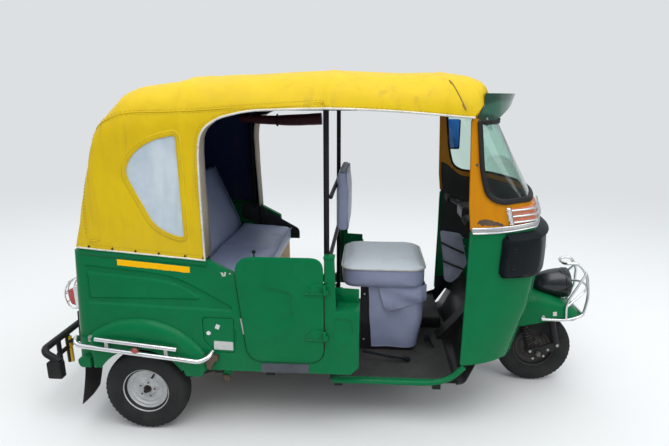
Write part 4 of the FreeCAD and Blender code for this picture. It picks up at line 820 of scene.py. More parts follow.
def pale_stage():
    shade = bpy.data.materials.new("Pale_floor")
    shade.use_nodes = True
    g = Graph(shade.node_tree)
    surface = shade.node_tree.nodes["Principled BSDF"]
    surface.inputs["Roughness"].default_value = 0.9
    away = g.add("ShaderNodeVectorMath", {0: g.add("ShaderNodeTexCoord", out="Object")}, out="Value",
                 operation="LENGTH")
    far_off = g.remap(away, 2.2, 9.0)
    g.feed(surface.inputs["Base Color"], g.mix(far_off, colour(0.66, 0.66, 0.65), colour(0.0, 0.0, 0.0)))
    surface.inputs["Emission Color"].default_value = HORIZON
    g.feed(surface.inputs["Emission Strength"], far_off)
    surface.inputs["Specular IOR Level"].default_value = 0.0
    far = 60.0
    floor = new_piece("floor", [(-far, -far, 0), (far, -far, 0), (far, far, 0), (-far, far, 0)],
                      [(0, 1, 2, 3)])
    floor.data.materials.append(shade)


def soft_light():
    world = bpy.data.worlds.new("Overcast")
    world.use_nodes = True
    scene.world = world
    g = Graph(world.node_tree)
    path = g.add("ShaderNodeLightPath", out="Is Camera Ray").node.outputs
    seen = g.math("ADD", path["Is Camera Ray"], path["Is Transmission Ray"], clamp=True)
    up = g.add("ShaderNodeSeparateXYZ", {0: g.add("ShaderNodeTexCoord", out="Generated")}).node.outputs["Z"]
    sky = g.mix(g.remap(up, 0.0, 0.75), colour(0.25, 0.27, 0.29), colour(1.08, 1.14, 1.20))
    back = world.node_tree.nodes["Background"]
    g.feed(back.inputs["Color"], g.mix(seen, sky, HORIZON))
    back.inputs["Strength"].default_value = 1.0
    for name, place, size, power in (("sky_panel", (0.5, -2.0, 6.5), 6.0, 300.0),
                                     ("front_panel", (7.0, -3.0, 4.0), 4.0, 110.0),
                                     ("rear_panel_light", (-7.0, 2.0, 5.0), 4.0, 70.0)):
        light = bpy.data.lights.new(name, "AREA")
        light.size = size
        light.energy = power
        lamp = bpy.data.objects.new(name, light)
        lamp.location = place
        lamp.rotation_euler = (Vector((0, 0, 0.8)) - Vector(place)).to_track_quat("-Z", "Y").to_euler()
        scene.collection.objects.link(lamp)


print("stage colours:", HORIZON)

# %% Camera and stage
CAMERA_PLACE = Vector((0.2081, -2.6826, 1.5749))
CAMERA_TURN = math.radians(4.07)
CAMERA_DIP = math.radians(14.11)
CAMERA_LENS = 26.88


def place_camera():
    lens = bpy.data.cameras.new("eye_level")
    lens.lens = CAMERA_LENS
    lens.sensor_width = 36.0
    eye = bpy.data.objects.new("eye_level", lens)
    look = Vector((-math.sin(CAMERA_TURN) * math.cos(CAMERA_DIP),
                   math.cos(CAMERA_TURN) * math.cos(CAMERA_DIP), -math.sin(CAMERA_DIP)))
    eye.location = CAMERA_PLACE
    eye.rotation_euler = look.to_track_quat("-Z", "Y").to_euler()
    scene.collection.objects.link(eye)
    scene.camera = eye


scene.view_settings.view_transform = "Standard"
pale_stage()
soft_light()
place_camera()
print("camera", tuple(round(c, 3) for c in scene.camera.location), "lens", CAMERA_LENS)

# %% [markdown]
# The body is pressed sheet steel: flat fields with soft swages and creases that a press folds into
# them. Such a panel is made here as one even net of triangles inside its outline, moved in or out
# by a relief formula and then given its thickness. A subdivided cage would need hand-placed loops
# for each crease; a net and a formula keep each crease as two or three numbers.

# %% Outlines and nets
def inside(points, outline):
    """Which flat points lie within an outline."""
    x, z = points[:, 0], points[:, 1]
    within = np.zeros(len(points), dtype=bool)
    for (ax, az), (bx, bz) in zip(outline, outline[1:] + outline[:1]):
        if az != bz:
            crosses = ((az > z) != (bz > z)) & (x < (bx - ax) * (z - az) / (bz - az) + ax)
            within ^= crosses
    return within


def within(points, loops):
    """Which flat points lie inside the first loop and outside all others."""
    kept = inside(points, loops[0])
    for hole in loops[1:]:
        kept &= ~inside(points, hole)
    return kept


def divided(outline, spacing, closed=True):
    """The same outline or open line with more points, spaced about evenly."""
    out = []
    for a, b in zip(outline, outline[1:] + outline[:1] if closed else outline[1:]):
        steps = max(1, int(math.hypot(b[0] - a[0], b[1] - a[1]) / spacing))
        out += [(a[0] + (b[0] - a[0]) * k / steps, a[1] + (b[1] - a[1]) * k / steps)
                for k in range(steps)]
    return out if closed else out + [outline[-1]]


def grown(outline, margin):
    """An outline moved outwards by a margin, each corner along the bisector of its sides."""
    out = []
    count = len(outline)
    area = sum(outline[i - 1][0] * outline[i][1] - outline[i][0] * outline[i - 1][1] for i in range(count))
    turn = 1 if area > 0 else -1
    for i in range(count):
        a, b, c = Vector(outline[i - 1]), Vector(outline[i]), Vector(outline[(i + 1) % count])
        n1, n2 = (b - a).normalized(), (c - b).normalized()
        n = Vector((n1.y + n2.y, -n1.x - n2.x)) * turn
        if n.length < 1e-6:
            n = Vector((n1.y, -n1.x)) * turn
        n.normalize()
        out.append((b.x + n.x * margin, b.y + n.y * margin))
    return out


def net(outline, spacing, holes=(), folds=()):
    """Flat points and triangles that fill an outline evenly, leave its holes open and have an edge
    along every fold line."""
    loops = [divided(loop, spacing) for loop in (outline, *holes)]
    border, edges = [], []
    for row in loops + [divided(fold, spacing) for fold in folds]:
        first = len(border)
        edges += [(first + k, first + (k + 1) % len(row)) for k in range(len(row))]
        border += row
    xs, zs = zip(*loops[0])
    filling = []
    for row, z in enumerate(np.arange(min(zs) + spacing * 0.5, max(zs), spacing * 0.87)):
        shift = spacing * 0.5 * (row % 2)
        filling += [(x + shift, z) for x in np.arange(min(xs), max(xs), spacing)]
    filling = np.array(filling)
    rim = np.array(border)
    apart = np.min(np.hypot(filling[:, None, 0] - rim[None, :, 0], filling[:, None, 1] - rim[None, :, 1]),
                   axis=1)
    filling = filling[within(filling, loops) & (apart > spacing * 0.55)]
    flat = [Vector(p) for p in border] + [Vector(p) for p in filling]
    points, _, faces = geometry.delaunay_2d_cdt(flat, edges, [], 0, 1e-4)[:3]
    middles = np.array([sum((points[i] for i in face), Vector((0, 0))) / len(face) for face in faces])
    shown = within(middles, loops)
    return [(p.x, p.y) for p in points], [tuple(f) for f, ok in zip(faces, shown) if ok]


# %% Panels pressed from a net
def level(a, b):
    """The relief of a flat panel."""
    return 0.0


def pressed(name, outline, depth, relief=level, thick=1.5, spacing=12, holes=(), plane="side", bevel=0.0,
            folds=()):
    """A panel in one plane: it stands at depth plus its relief, and its thickness goes to the other
    side. A negative thick makes the relief stand towards lower numbers."""
    flat, faces = net(outline, spacing, holes, folds)
    out = 1 if thick > 0 else -1
    to_point = PLANES[plane]
    piece = new_piece(name, [to_point(a, b, depth + out * relief(a, b)) for a, b in flat], faces)
    direction = (to_point(0, 0, 1) - to_point(0, 0, 0)) * out
    thickened(turn_out(piece, lambda place: direction), abs(thick), -1.0)
    return bevelled(piece, bevel) if bevel else smooth(piece, 32)


def mirrored(piece, name):
    """The same piece on the vehicle's other side."""
    twin = piece.copy()
    twin.data = piece.data.copy()
    twin.name = name
    twin.data.transform(Matrix.Scale(-1, 4, (0, 1, 0)))
    twin.data.flip_normals()
    scene.collection.objects.link(twin)
    return twin


# %% Screws, rivets and small round heads
HEAD_SIDES = 10
HEAD_RINGS = ((0.0, 1.0), (0.55, 0.98), (0.9, 0.8), (1.0, 0.35))


def heads(name, places, way, radius, height, finish=STEEL, body="chassis", slot="chrome"):
    """A row of small domed heads that stand out from a surface along one direction."""
    way = Vector(way).normalized()
    side = way.orthogonal().normalized()
    up = way.cross(side)
    points, faces = [], []
    for place in places:
        first = len(points)
        for along, wide in HEAD_RINGS:
            for k in range(HEAD_SIDES):
                turn = 2 * math.pi * k / HEAD_SIDES
                spoke = side * math.cos(turn) + up * math.sin(turn)
                points.append(place + way * (along * height * MM) + spoke * (wide * radius * MM))
        points.append(place + way * (height * 1.03 * MM))
        for row in range(first, first + (len(HEAD_RINGS) - 1) * HEAD_SIDES, HEAD_SIDES):
            for k in range(HEAD_SIDES):
                a, b = row + k, row + (k + 1) % HEAD_SIDES
                faces.append((a, b, b + HEAD_SIDES, a + HEAD_SIDES))
        last = first + (len(HEAD_RINGS) - 1) * HEAD_SIDES
        for k in range(HEAD_SIDES):
            faces.append((last + k, last + (k + 1) % HEAD_SIDES, len(points) - 1))
        faces.append(tuple(first + k for k in reversed(range(HEAD_SIDES))))
    return dress(tidy_normals(new_piece(name, points, faces, 40)), finish, slot, body)

# %% [markdown]
# The canopy is one tailored cover of coated canvas over steel bows. A real one is sewn from a roof panel, two
# sides and a faceted back, so that it has firm shoulders, soft creases where the back turns into the roof,
# and faint ridges over the bows. It could be a subdivided cage, but here the form is a formula: each limiting
# surface is written once, blended with its neighbours by a set softness, and rays cast from the middle of the
# cabin find the cloth. The doorways and the right side window are then cut through it as a tailor would cut
# them.

# %% Sizes of the canopy
_, hood_high = spot("canopy_hood")
HEM_Z = 903
HOOD_HALF = 616
HOOD_TOP_HALF = 587
EAVE_Z = 1513
CROWN_Z = hood_high.z
ROOF_REAR = (0, 1650)
BACK_BREAK = (-68, 1553)
BACK_TOP = (-141, 1453)
BACK_HEM = (-287, 880)
HOOD_FRONT_X = hood_high.x
FRONT_HALF = 537
BELT_END_X = 340
FLARE_Z = 870
BOWS_X = (-20, 250, 880, 1390)
TURN_X = 140.0
SOFT_EAVE, SOFT_BACK, SOFT_CORNER, SOFT_NOSE = 170.0, 26.0, 46.0, 40.0
CROWN_X = 850
BROW = (1488, 1688)
PEAK = (HOOD_FRONT_X, 1604)
FRONT_HEM = (1497, 1492)
NOSE = ((HOOD_FRONT_X - 70, FRONT_HALF), (HOOD_FRONT_X, FRONT_HALF - 180))


print("canopy: crown at", round(CROWN_Z), "front edge at", round(HOOD_FRONT_X))

# %% The cloth's form as a formula
def blend(a, b, soft):
    """The larger of two distances, rounded off where they are nearly the same."""
    near = np.maximum(soft - np.abs(a - b), 0.0) / soft
    return np.maximum(a, b) + near * near * soft * 0.25


def beyond_line(x, z, start, end):
    """Distance outside a slanting line that rises forward along the back of the canopy."""
    dx, dz = end[0] - start[0], end[1] - start[1]
    length = math.hypot(dx, dz)
    return ((x - start[0]) * -dz + (z - start[1]) * dx) / length


def roof_height(x, y):
    """Height of the roof: highest at the crown, lower to both ends and to the sides."""
    rise = np.where(x < CROWN_X, ((x - CROWN_X) / CROWN_X) ** 2 * (CROWN_Z - ROOF_REAR[1]),
                    ((x - CROWN_X) / (BROW[0] - CROWN_X)) ** 2 * (CROWN_Z - BROW[1]))
    return CROWN_Z - rise - 30 * (y / 425.0) ** 2


def hood_distance(x, y, z):
    """How far a point lies outside the cloth, in millimetres."""
    up = np.clip((z - FLARE_Z) / (EAVE_Z - FLARE_Z), 0, 1.3)
    half = HOOD_HALF + (HOOD_TOP_HALF - HOOD_HALF) * up
    forward = np.clip((x - BELT_END_X) / (NOSE[0][0] - BELT_END_X), 0, 1)
    half = np.minimum(half, HOOD_HALF + (FRONT_HALF - HOOD_HALF) * forward)
    side = np.abs(y) - half
    body = blend(side, z - roof_height(x, y), SOFT_EAVE)
    back = blend(beyond_line(x, z, BACK_HEM, BACK_TOP), beyond_line(x, z, BACK_TOP, BACK_BREAK), SOFT_BACK)
    back = blend(back, beyond_line(x, z, BACK_BREAK, ROOF_REAR), SOFT_BACK)
    brow = beyond_line(x, z, BROW, PEAK)
    front = blend(brow, beyond_line(x, np.abs(y), *NOSE), SOFT_NOSE)
    return blend(blend(body, back, SOFT_CORNER), front, SOFT_NOSE)


def hood_relief(x, y, z):
    """How far the cloth stands out: ridges over the bows, slack between them, small puckers."""
    out = 0.0
    high = smoothstep(z, 1150, 1560)
    for bow in BOWS_X:
        out += 5.5 * math.exp(-((x - bow) / 16.0) ** 2) * high
    for a, b in zip(BOWS_X, BOWS_X[1:]):
        if a < x < b:
            out -= 7.0 * math.sin(math.pi * (x - a) / (b - a)) ** 2 * smoothstep(z, 1540, 1640)
    if x < BELT_END_X:
        spread = Vector((x / 150.0, y / 190.0, z / 420.0))
        out += 5.0 * noise.noise(spread + Vector((3.1, 0.4, 0.9)))
        out += 1.6 * noise.noise(Vector((x / 38.0, y / 60.0, z / 120.0)))
    else:
        out += 2.5 * noise.noise(Vector((x / 120.0, y / 80.0, z / 60.0)))
    gather = math.exp(-((z - 1482) / 26.0) ** 2)
    out += gather * 1.2 * math.sin(x / 11.0 + 2 * noise.noise(Vector((x / 60.0, 0.0, 5.0))))
    return out - 1.5


# %% Rays that find the cloth
def cast(origins, ways):
    """Where rays from inside the cabin meet the cloth, by halving the distance again and again."""
    near = np.zeros(len(origins))
    far = np.full(len(origins), 1900.0)
    for _ in range(34):
        middle = (near + far) / 2
        p = origins + ways * middle[:, None]
        outside = hood_distance(p[:, 0], p[:, 1], p[:, 2]) > 0
        far = np.where(outside, middle, far)
        near = np.where(outside, near, middle)
    return origins + ways * near[:, None]


def hood_stations(front_x, side_step, turn_step):
    """Places and headings round the cabin: along the right side, round the back, along the left."""
    sides = np.arange(front_x, TURN_X, -side_step)
    return ([(x, -90.0) for x in sides] + [(TURN_X, a) for a in np.arange(-90.0, -270.1, -turn_step)]
            + [(x, -270.0) for x in sides[::-1]])


def hood_normals(points):
    """Outward direction of the formula at each point, from small steps each way."""
    step = 1.0
    x, y, z = points[:, 0], points[:, 1], points[:, 2]
    slope = np.stack([hood_distance(x + step, y, z) - hood_distance(x - step, y, z),
                      hood_distance(x, y + step, z) - hood_distance(x, y - step, z),
                      hood_distance(x, y, z + step) - hood_distance(x, y, z - step)], axis=1)
    return slope / np.maximum(np.linalg.norm(slope, axis=1), 1e-6)[:, None]


def on_cloth(hits, proud=0.0):
    """Points of the real cloth, with its relief, where rays met its plain form."""
    return [at(*(hit + normal * (hood_relief(*hit) + proud)))
            for hit, normal in zip(hits, hood_normals(hits))]


def make_hood():
    """The cloth as one skin through the points that rays find."""
    stations = hood_stations(HOOD_FRONT_X - 3, 13.0, 2.0)
    lift = np.concatenate([np.linspace(-4.5, 42.0, 42), np.linspace(43.0, 90.0, 44)])
    origins, ways = [], []
    for x, heading in stations:
        a = math.radians(heading)
        for e in np.radians(lift):
            origins.append((x, 0.0, HEM_Z - 4.0))
            ways.append((math.cos(a) * math.cos(e), math.sin(a) * math.cos(e), math.sin(e)))
    skin = on_cloth(cast(np.array(origins), np.array(ways)))
    rows = [skin[k:k + len(lift)] for k in range(0, len(skin), len(lift))]
    piece = grid("canopy", rows, angle=60)
    work = bmesh.new()
    work.from_mesh(piece.data)
    bmesh.ops.remove_doubles(work, verts=work.verts, dist=0.0012)
    bmesh.ops.recalc_face_normals(work, faces=work.faces)
    centre = at(500, 0, 1200)
    outward = sum((f.calc_center_median() - centre).dot(f.normal) for f in work.faces)
    if outward < 0:
        bmesh.ops.reverse_faces(work, faces=work.faces)
    work.to_mesh(piece.data)
    work.free()
    return piece


def on_hood(flat, side=-1, proud=0.0):
    """Points of the cloth's side face at places given in the side view."""
    starts = np.array([(x, 0.0, z) for x, z in flat])
    return on_cloth(cast(starts, np.tile((0.0, float(side), 0.0), (len(flat), 1))), proud)


# %% Doorway, window and front outlines in the side view
DOORWAY = round_corners([
    (BELT_END_X - 2, 700), (BELT_END_X - 15, 1148), (BELT_END_X - 17, 1345), (BELT_END_X - 3, 1435),
    (BELT_END_X + 70, 1490), (BELT_END_X + 200, 1522), (892, 1532), (1175, 1520),
    (FRONT_HEM[0] - 8, FRONT_HEM[1]), (PEAK[0] + 60, FRONT_HEM[1]), (PEAK[0] + 60, 700)],
    [0, 60, 60, 60, 60, 60, 120, 120, 60, 0, 0])
SIDE_WINDOW = round_corners([(-10, 1262), (34, 1345), (122, 1402), (232, 1424), (247, 968), (180, 985),
                             (108, 1028)], [60, 60, 60, 22, 24, 60, 60], steps=8)
FRONT_FACE = [(1474, 1484), (1621, 1642), (1646, 1700), (PEAK[0] + 190, 1700), (PEAK[0] + 190, 1300),
              (1474, 1300)]


def hem_z(x):
    """The hem drops a little towards the doorway."""
    return 871 - (max(x, -245) - 340) * 0.0805


def round_the_back(drop, proud, side_step=13.0, turn_step=4.0):
    """Points of the cloth along its hem, from the right doorway round the back to the left one."""
    places = hood_stations(BELT_END_X - 4, side_step, turn_step)
    ways = np.array([(math.cos(math.radians(a)), math.sin(math.radians(a)), 0.0) for _, a in places])
    hits = cast(np.array([(x, 0.0, HEM_Z + 2.0) for x, _ in places]), ways)
    starts = np.array([(x, 0.0, hem_z(hit[0]) + drop) for (x, _), hit in zip(places, hits)])
    return on_cloth(cast(starts, ways), proud)


# %% Make the cloth and cut its openings
def through(name, outline):
    """A cutter that reaches through both sides."""
    far = HOOD_HALF + 120
    return slab(name, outline, -far, far)


hood = make_hood()
hood.data.materials.append(CANVAS)
hood.data.materials.append(LINING)
thickened(hood, 2.5, -1.0, material_offset=1, material_offset_rim=0)
cut(hood, through("doorway_cut", DOORWAY))
cut(hood, slab("window_cut", SIDE_WINDOW, -HOOD_HALF - 120, 0))
cut(hood, through("front_cut", FRONT_FACE))
cut(hood, through("hem_cut", [(-700, 600), (BELT_END_X + 30, 600), (BELT_END_X + 30, hem_z(BELT_END_X + 30)),
                              (-250, hem_z(-250)), (-700, hem_z(-250))]))
smooth(hood, 50)
dress(hood, None, "yellow_cloth", replaces=["canopy_hood"])
print("canopy faces:", len(hood.data.polygons))

# %% [markdown]
# The canopy's edges are finished as a tailor finishes them: white piping round the doorway and
# along the hem, on each side a ridged seam between two rows of stitches, a short seam at the front
# corner, snaps along the hem, and a welted window of milky film in the right side. All of them are
# laid on the same formula, so they follow the cloth exactly.

# %% Piping, seams and snaps
def on_both_sides(make):
    """Makes a piece for the right side and its twin for the left."""
    for side, word in SIDES:
        make(side, word)


def seam_route(points, side, proud, step=14.0):
    """Points on the cloth along a run given in the side view."""
    return on_hood(divided(points, step, closed=False), side, proud)


DOOR_EDGE = [(BELT_END_X - 7, 874)] + [p for p in DOORWAY if p[0] <= FRONT_HEM[0] and p[1] > 905]
SEAM_LINE = round_corners([(-205, 925), (-196, 1330), (-128, 1460), (-10, 1512), (260, 1518),
                           (900, 1560)], 70)
FRONT_SEAM = round_corners([(1376, 1655), (1416, 1600), (1462, 1500)], 60)


def stitch_marks(name, route, finish, length=7.0, gap=6.0, radius=0.9):
    """Short stitches along a route, all in one object."""
    marks = []
    for a, b in zip(route, route[1:]):
        way = b - a
        total = way.length / MM
        if total < 1.0:
            continue
        count = max(1, int(total / (length + gap)))
        for k in range(count):
            start = a + way * (k / count)
            end = a + way * min(1.0, k / count + length / total)
            marks.append((start, end))
    points, faces = [], []
    for start, end in marks:
        way = (end - start).normalized()
        side = way.orthogonal().normalized() * (radius * MM)
        up = way.cross(side)
        first = len(points)
        for place, size in ((start, 0.4), ((start + end) / 2, 1.0), (end, 0.4)):
            points += [place + side * size, place + up * size, place - side * size, place - up * size]
        for r in (0, 4):
            for k in range(4):
                a, b = first + r + k, first + r + (k + 1) % 4
                faces.append((a, b, b + 4, a + 4))
        faces.append((first + 3, first + 2, first + 1, first))
        faces.append((first + 8, first + 9, first + 10, first + 11))
    return dress(tidy_normals(new_piece(name, points, faces, 60)), finish, "yellow_cloth")


def trim_side(side, word):
    """Piping, seams, stitches and snaps of one side."""
    edge = seam_route(DOOR_EDGE, side, 0.5)
    dress(sweep(f"doorway_piping_{word}", edge, 4.6, 8), PIPING)
    seam = on_hood(SEAM_LINE, side, 0.6)
    dress(sweep(f"seam_ridge_{word}", seam, 2.4, 8, flat=0.8), CANVAS)
    for gap in (-9, 9):
        run = seam_route([(x - 0.4 * gap, z + 0.9 * gap) for x, z in SEAM_LINE], side, 1.0)
        stitch_marks(f"seam_stitches_{word}_{'upper' if gap > 0 else 'lower'}", run, SEAM_TAPE)
    line = seam_route([(x - 15, z + 9) for x, z in DOOR_EDGE[2:]], side, 0.8)
    stitch_marks(f"doorway_stitches_{word}", line, SEAM_TAPE)
    front = on_hood(FRONT_SEAM, side, 0.6)
    dress(sweep(f"front_seam_{word}", front, 2.6, 8), SEAM_TAPE)
    places = on_hood([(x, hem_z(x) + 11) for x in (-196, -88, 18, 124, 244, 328)], side, 0.5)
    heads(f"hem_snaps_{word}", places, (0, side, 0), 5.0, 3.0, PLASTIC)


on_both_sides(trim_side)
dress(sweep("hem_piping", round_the_back(1, 0.8), 4.0, 8), PIPING)
stitch_marks("hem_stitches", round_the_back(20, 0.9), SEAM_TAPE)
strip = grid("belt_strip", [round_the_back(drop, -5.0) for drop in (-32, -12, 12)])
dress(thickened(strip, 2, -1.0), GREEN)

# %% The welted side window
def make_window(side, word):
    flat, faces = net(grown(SIDE_WINDOW, 6), 14.0)
    film = new_piece(f"window_film_{word}", on_hood(flat, side, -2.5), faces, 60)
    thickened(turn_out(film, lambda place: Vector((0, side, 0))), 0.8)
    dress(smooth(film, 60), FILM)
    rings = []
    for margin, lift in ((-4, -0.6), (-3, 1.4), (2, 2.0), (14, 2.0), (19, 1.6), (21, -0.6)):
        rings.append(on_hood(grown(SIDE_WINDOW, margin), side, lift))
    welt = tidy_normals(grid(f"window_welt_{word}", rings, closed=True, angle=50))
    dress(welt, CANVAS)
    for margin in (3, 14):
        run = on_hood(divided(grown(SIDE_WINDOW, margin), 12), side, 2.6)
        stitch_marks(f"welt_stitches_{word}_{margin}", run + run[:1], SEAM_TAPE)
    return film


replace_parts(make_window(-1, "right"), "canopy_windows")
print("canopy trim done")

# %% [markdown]
# The body sides are pressed steel painted deep gloss green. A channel pressed into the metal rings a
# long field behind the door, and a small field lies ahead of the door. Loops on a cage could carry
# them; here each step is a closed outline whose fold lines become edges of the net, and its depth
# grows with the distance inside, so every step keeps one width. The left side is the right mirrored.

# %% Body sides
BODY_Y = -610
BODY_DOORWAY = round_corners([(866, 895), (866, 379), (503, 379), (460.5, 802.4)], [0, 80, 77, 0])
AXLE_Z = 203
ARCH = [(240 * math.cos(t), AXLE_Z + 240 * math.sin(t))
        for t in np.linspace(math.pi - math.asin(127 / 240), math.asin(127 / 240), 25)]
SIDE_LINE = ([(-245, 330)] + ARCH + [(985, 330), (1022, 367), (1022, 636), (917, 641), (907, 893)]
             + BODY_DOORWAY + [(340, 866), (-245, 911)])
CHANNEL_OUT = round_corners([(-236, 838), (60, 812), (200, 788), (446, 650), (440, 625), (-236, 648)],
                            [6, 60, 90, 12, 12, 6])
CHANNEL_IN = round_corners([(-228, 803), (60, 781), (192, 759), (300, 695), (292, 677), (-228, 672)],
                           [6, 60, 70, 10, 10, 6])
SHORT_FIELD = round_corners([(900, 610), (992, 603), (1000, 534), (892, 466)], 14)
STEP = 9
FLAP_LINE = round_corners([(302, 482), (356, 422), (445, 422), (445, 592), (302, 592)], 14)


# %% Relief of the body sides
def recess(x, z, outline, depth, width):
    """Depth of a pressed field at a point: none outside its outline, full beyond its step."""
    if not inside(np.array([[x, z]]), outline)[0]:
        return 0.0
    return -depth * min(1.0, distance_to(x, z, outline + outline[:1]) / width)


def step_folds(outline, width=STEP):
    """The two fold lines of a pressed step."""
    return [outline, grown(outline, -width)]


def side_relief(x, z):
    """The channel, the short field, one shallow dent and a slow waviness."""
    channel = recess(x, z, CHANNEL_OUT, 8, STEP) - recess(x, z, CHANNEL_IN, 7, STEP)
    sag = -1.5 * math.exp(-(((x - 30) / 110) ** 2 + ((z - 725) / 40) ** 2))
    return channel + recess(x, z, SHORT_FIELD, 6, STEP) + sag + 0.8 * noise.noise(Vector((x, z, 0)) * 0.009)


flap_gap = grown(FLAP_LINE, 3)
side_folds = step_folds(CHANNEL_OUT) + step_folds(CHANNEL_IN) + step_folds(SHORT_FIELD)
side_right = pressed("side_skin_right", SIDE_LINE, BODY_Y, side_relief, -38, 13, [flap_gap], bevel=2.0,
                     folds=side_folds)
dress(side_right, GREEN, replaces=["side_panel_right"])
side_left = pressed("side_skin_left", SIDE_LINE, BODY_Y, side_relief, -38, 13, bevel=2.0, folds=side_folds)
side_left = mirrored(side_left, "side_left")
bpy.data.objects.remove(bpy.data.objects["side_skin_left"])
dress(side_left, GREEN, replaces=["side_panel_left"])
dress(slab("flap_well", grown(FLAP_LINE, 6), -597, -590), GREEN)


print("body sides dressed")

# %% Skirt lip, door post cap and the ledge ahead of the door
def both(piece, finish, slot=None, replaces=()):
    """A right-hand piece and its twin on the left."""
    dress(piece, finish, slot, replaces=replaces)
    dress(mirrored(piece, piece.name + "_left"), finish, slot)


lip = [at(x, BODY_Y + 3, 331) for x in (212, 500, 800, 984)] + [at(1020, BODY_Y + 3, 368)]
both(sweep("skirt_lip", lip, 4.5, 10), GREEN)
both(slab("post_cap", round_corners([(861, 886), (911, 886), (911, 899), (861, 899)], 4), -614, -566,
          bevel=3), GREEN)
both(slab("ledge", [(917, 634), (1022, 630), (1022, 637), (917, 641)], -608, -484, bevel=2), GREEN)
both(slab("inner_wall", round_corners([(900, 580), (1018, 580), (1018, 704), (900, 710)], 5), -490, -484,
          bevel=2), GREEN)

# %% [markdown]
# Above each rear wheel the side swells into a crescent that covers the tyre. On the real body it
# is a pressing welded on; its edge leaves a dark line, then the metal rises on a quarter round to
# a flat face. The height here follows a quarter circle of the distance from that line.

# %% Wheel arches
FENDER_X, FENDER_Z, FENDER_R = -5, 210, 370


def fender_rise(x, z):
    """How far the crescent over the wheel stands out."""
    inward = min((FENDER_R - math.hypot(x - FENDER_X, z - FENDER_Z)) / 62, (x + 243) / 34, (314 - x) / 34)
    share = min(1.0, max(0.0, inward))
    swell = 33 * math.sqrt(1 - (1 - share) ** 2) + 1.0
    return swell - 5.0 * smoothstep(300 - math.hypot(x, z - AXLE_Z), 0, 60)


span = [math.asin((v - FENDER_X) / FENDER_R) for v in (-243, 314)]
crescent = [(FENDER_X + FENDER_R * math.sin(t), FENDER_Z + FENDER_R * math.cos(t))
            for t in np.linspace(span[0], span[1], 44)]
outline = round_corners([(-243, 331)], 0) + crescent + [(314, 331), (224, 331)]
outline += [(238 * math.cos(t), AXLE_Z + 238 * math.sin(t))
            for t in np.linspace(0.60, math.pi - 0.60, 34)]
outline += [(-224, 331)]
both(pressed("fender_right", outline[::-1], BODY_Y, fender_rise, -2.5, 9), GREEN,
     replaces=["fenders"])
mouth = [at(236 * math.cos(t), -636.5, AXLE_Z + 236 * math.sin(t))
         for t in np.linspace(0.58, math.pi - 0.58, 40)]
both(sweep("fender_lip", mouth, 3.2, 8), GREEN)

# %% [markdown]
# The filler flap lies flush with the side. It has a lock ring, a small tilted blank label and a
# worn blank plate. The orange stripe on the panel above is a blank strip of film with a torn edge.

# %% Filler flap, plates and the stripe
flap = pressed("filler_flap_skin", FLAP_LINE, -609, lambda x, z: 0.4 * noise.noise(Vector((x, z, 3)) * 0.03),
               -7, 9, bevel=1.6)
hinge = rod("flap_hinge", at(451, -611, 480), at(451, -611, 534), 3.4)
dress(join("filler_flap_skin", [flap, hinge], GREEN), slot="green_paint", body="fuel_flap",
      replaces=["filler_flap"])
lock = turned("flap_lock", capped([(0, 11), (2.4, 11), (3.4, 9.5), (3.0, 6.5), (1.6, 6.2), (1.6, 1.5)]),
              at(326, -609, 517), (0, -1, 0), 28)
dress(lock, CHROME, "chrome", "fuel_flap")


def sticker(name, outline, y, finish, body="chassis", thick=0.9):
    """A thin plate or film on the right side."""
    piece = slab(name, outline, y - thick, y + 0.3, bevel=0.3, segments=1)
    return dress(piece, finish, "dark_plastic", body)


sticker("flap_label", [(356, 542), (374, 535), (382, 556), (365, 563)], -609, BLANK_PLATE, "fuel_flap")
sticker("flap_plate", round_corners([(347, 434), (438, 432), (439, 474), (349, 478)], 3), -609, WORN_PLATE,
        "fuel_flap")
torn = [(x, 839 - (x + 75) * 0.087 + random.uniform(-1.6, 1.6)) for x in range(-75, 260, 9)]
sticker("side_stripe", torn + [(259, 838), (-75, 867)], BODY_Y, STRIPE)
for k in range(7):
    x, z = random.uniform(404, 446), random.uniform(786, 816)
    flake = [(x + random.uniform(3, 9) * math.cos(t), z + random.uniform(2, 6) * math.sin(t))
             for t in np.linspace(0, 5.4, 7)]
    sticker(f"paint_flake_{k}", flake, BODY_Y + 0.2, BLANK_PLATE, thick=0.5)

# %% [markdown]
# The door is a pressed leaf that stands a little proud of the body, rounded at all four corners and
# cut away at the rear. Two trapezoid hinge plates carry it. Its own recess mirrors the body's.

# %% Door
DOOR_LINE = round_corners([(508, 384), (861, 384), (861, 894), (455, 894)], [72, 75, 60, 100], 8)
DOOR_FIELD = round_corners([(520, 772), (560, 764), (690, 741), (727, 720), (729, 610), (600, 506),
                            (530, 470)], [20, 40, 40, 22, 26, 50, 20])


def door_relief(x, z):
    """The door's recess, which fades to the rear, and its rounded rim."""
    rim = distance_to(x, z, DOOR_LINE + DOOR_LINE[:1])
    fade = smoothstep(x, 530, 680)
    return recess(x, z, DOOR_FIELD, 9 * fade, 15) - 5 * (1 - min(1, rim / 9)) ** 2


door = pressed("door_skin", DOOR_LINE, -620, door_relief, -25, 10, bevel=1.5,
               folds=step_folds(DOOR_FIELD, 15))
dress(door, GREEN, "green_paint", "right_door", ["door_right"])
print("door skin faces:", len(door.data.polygons))

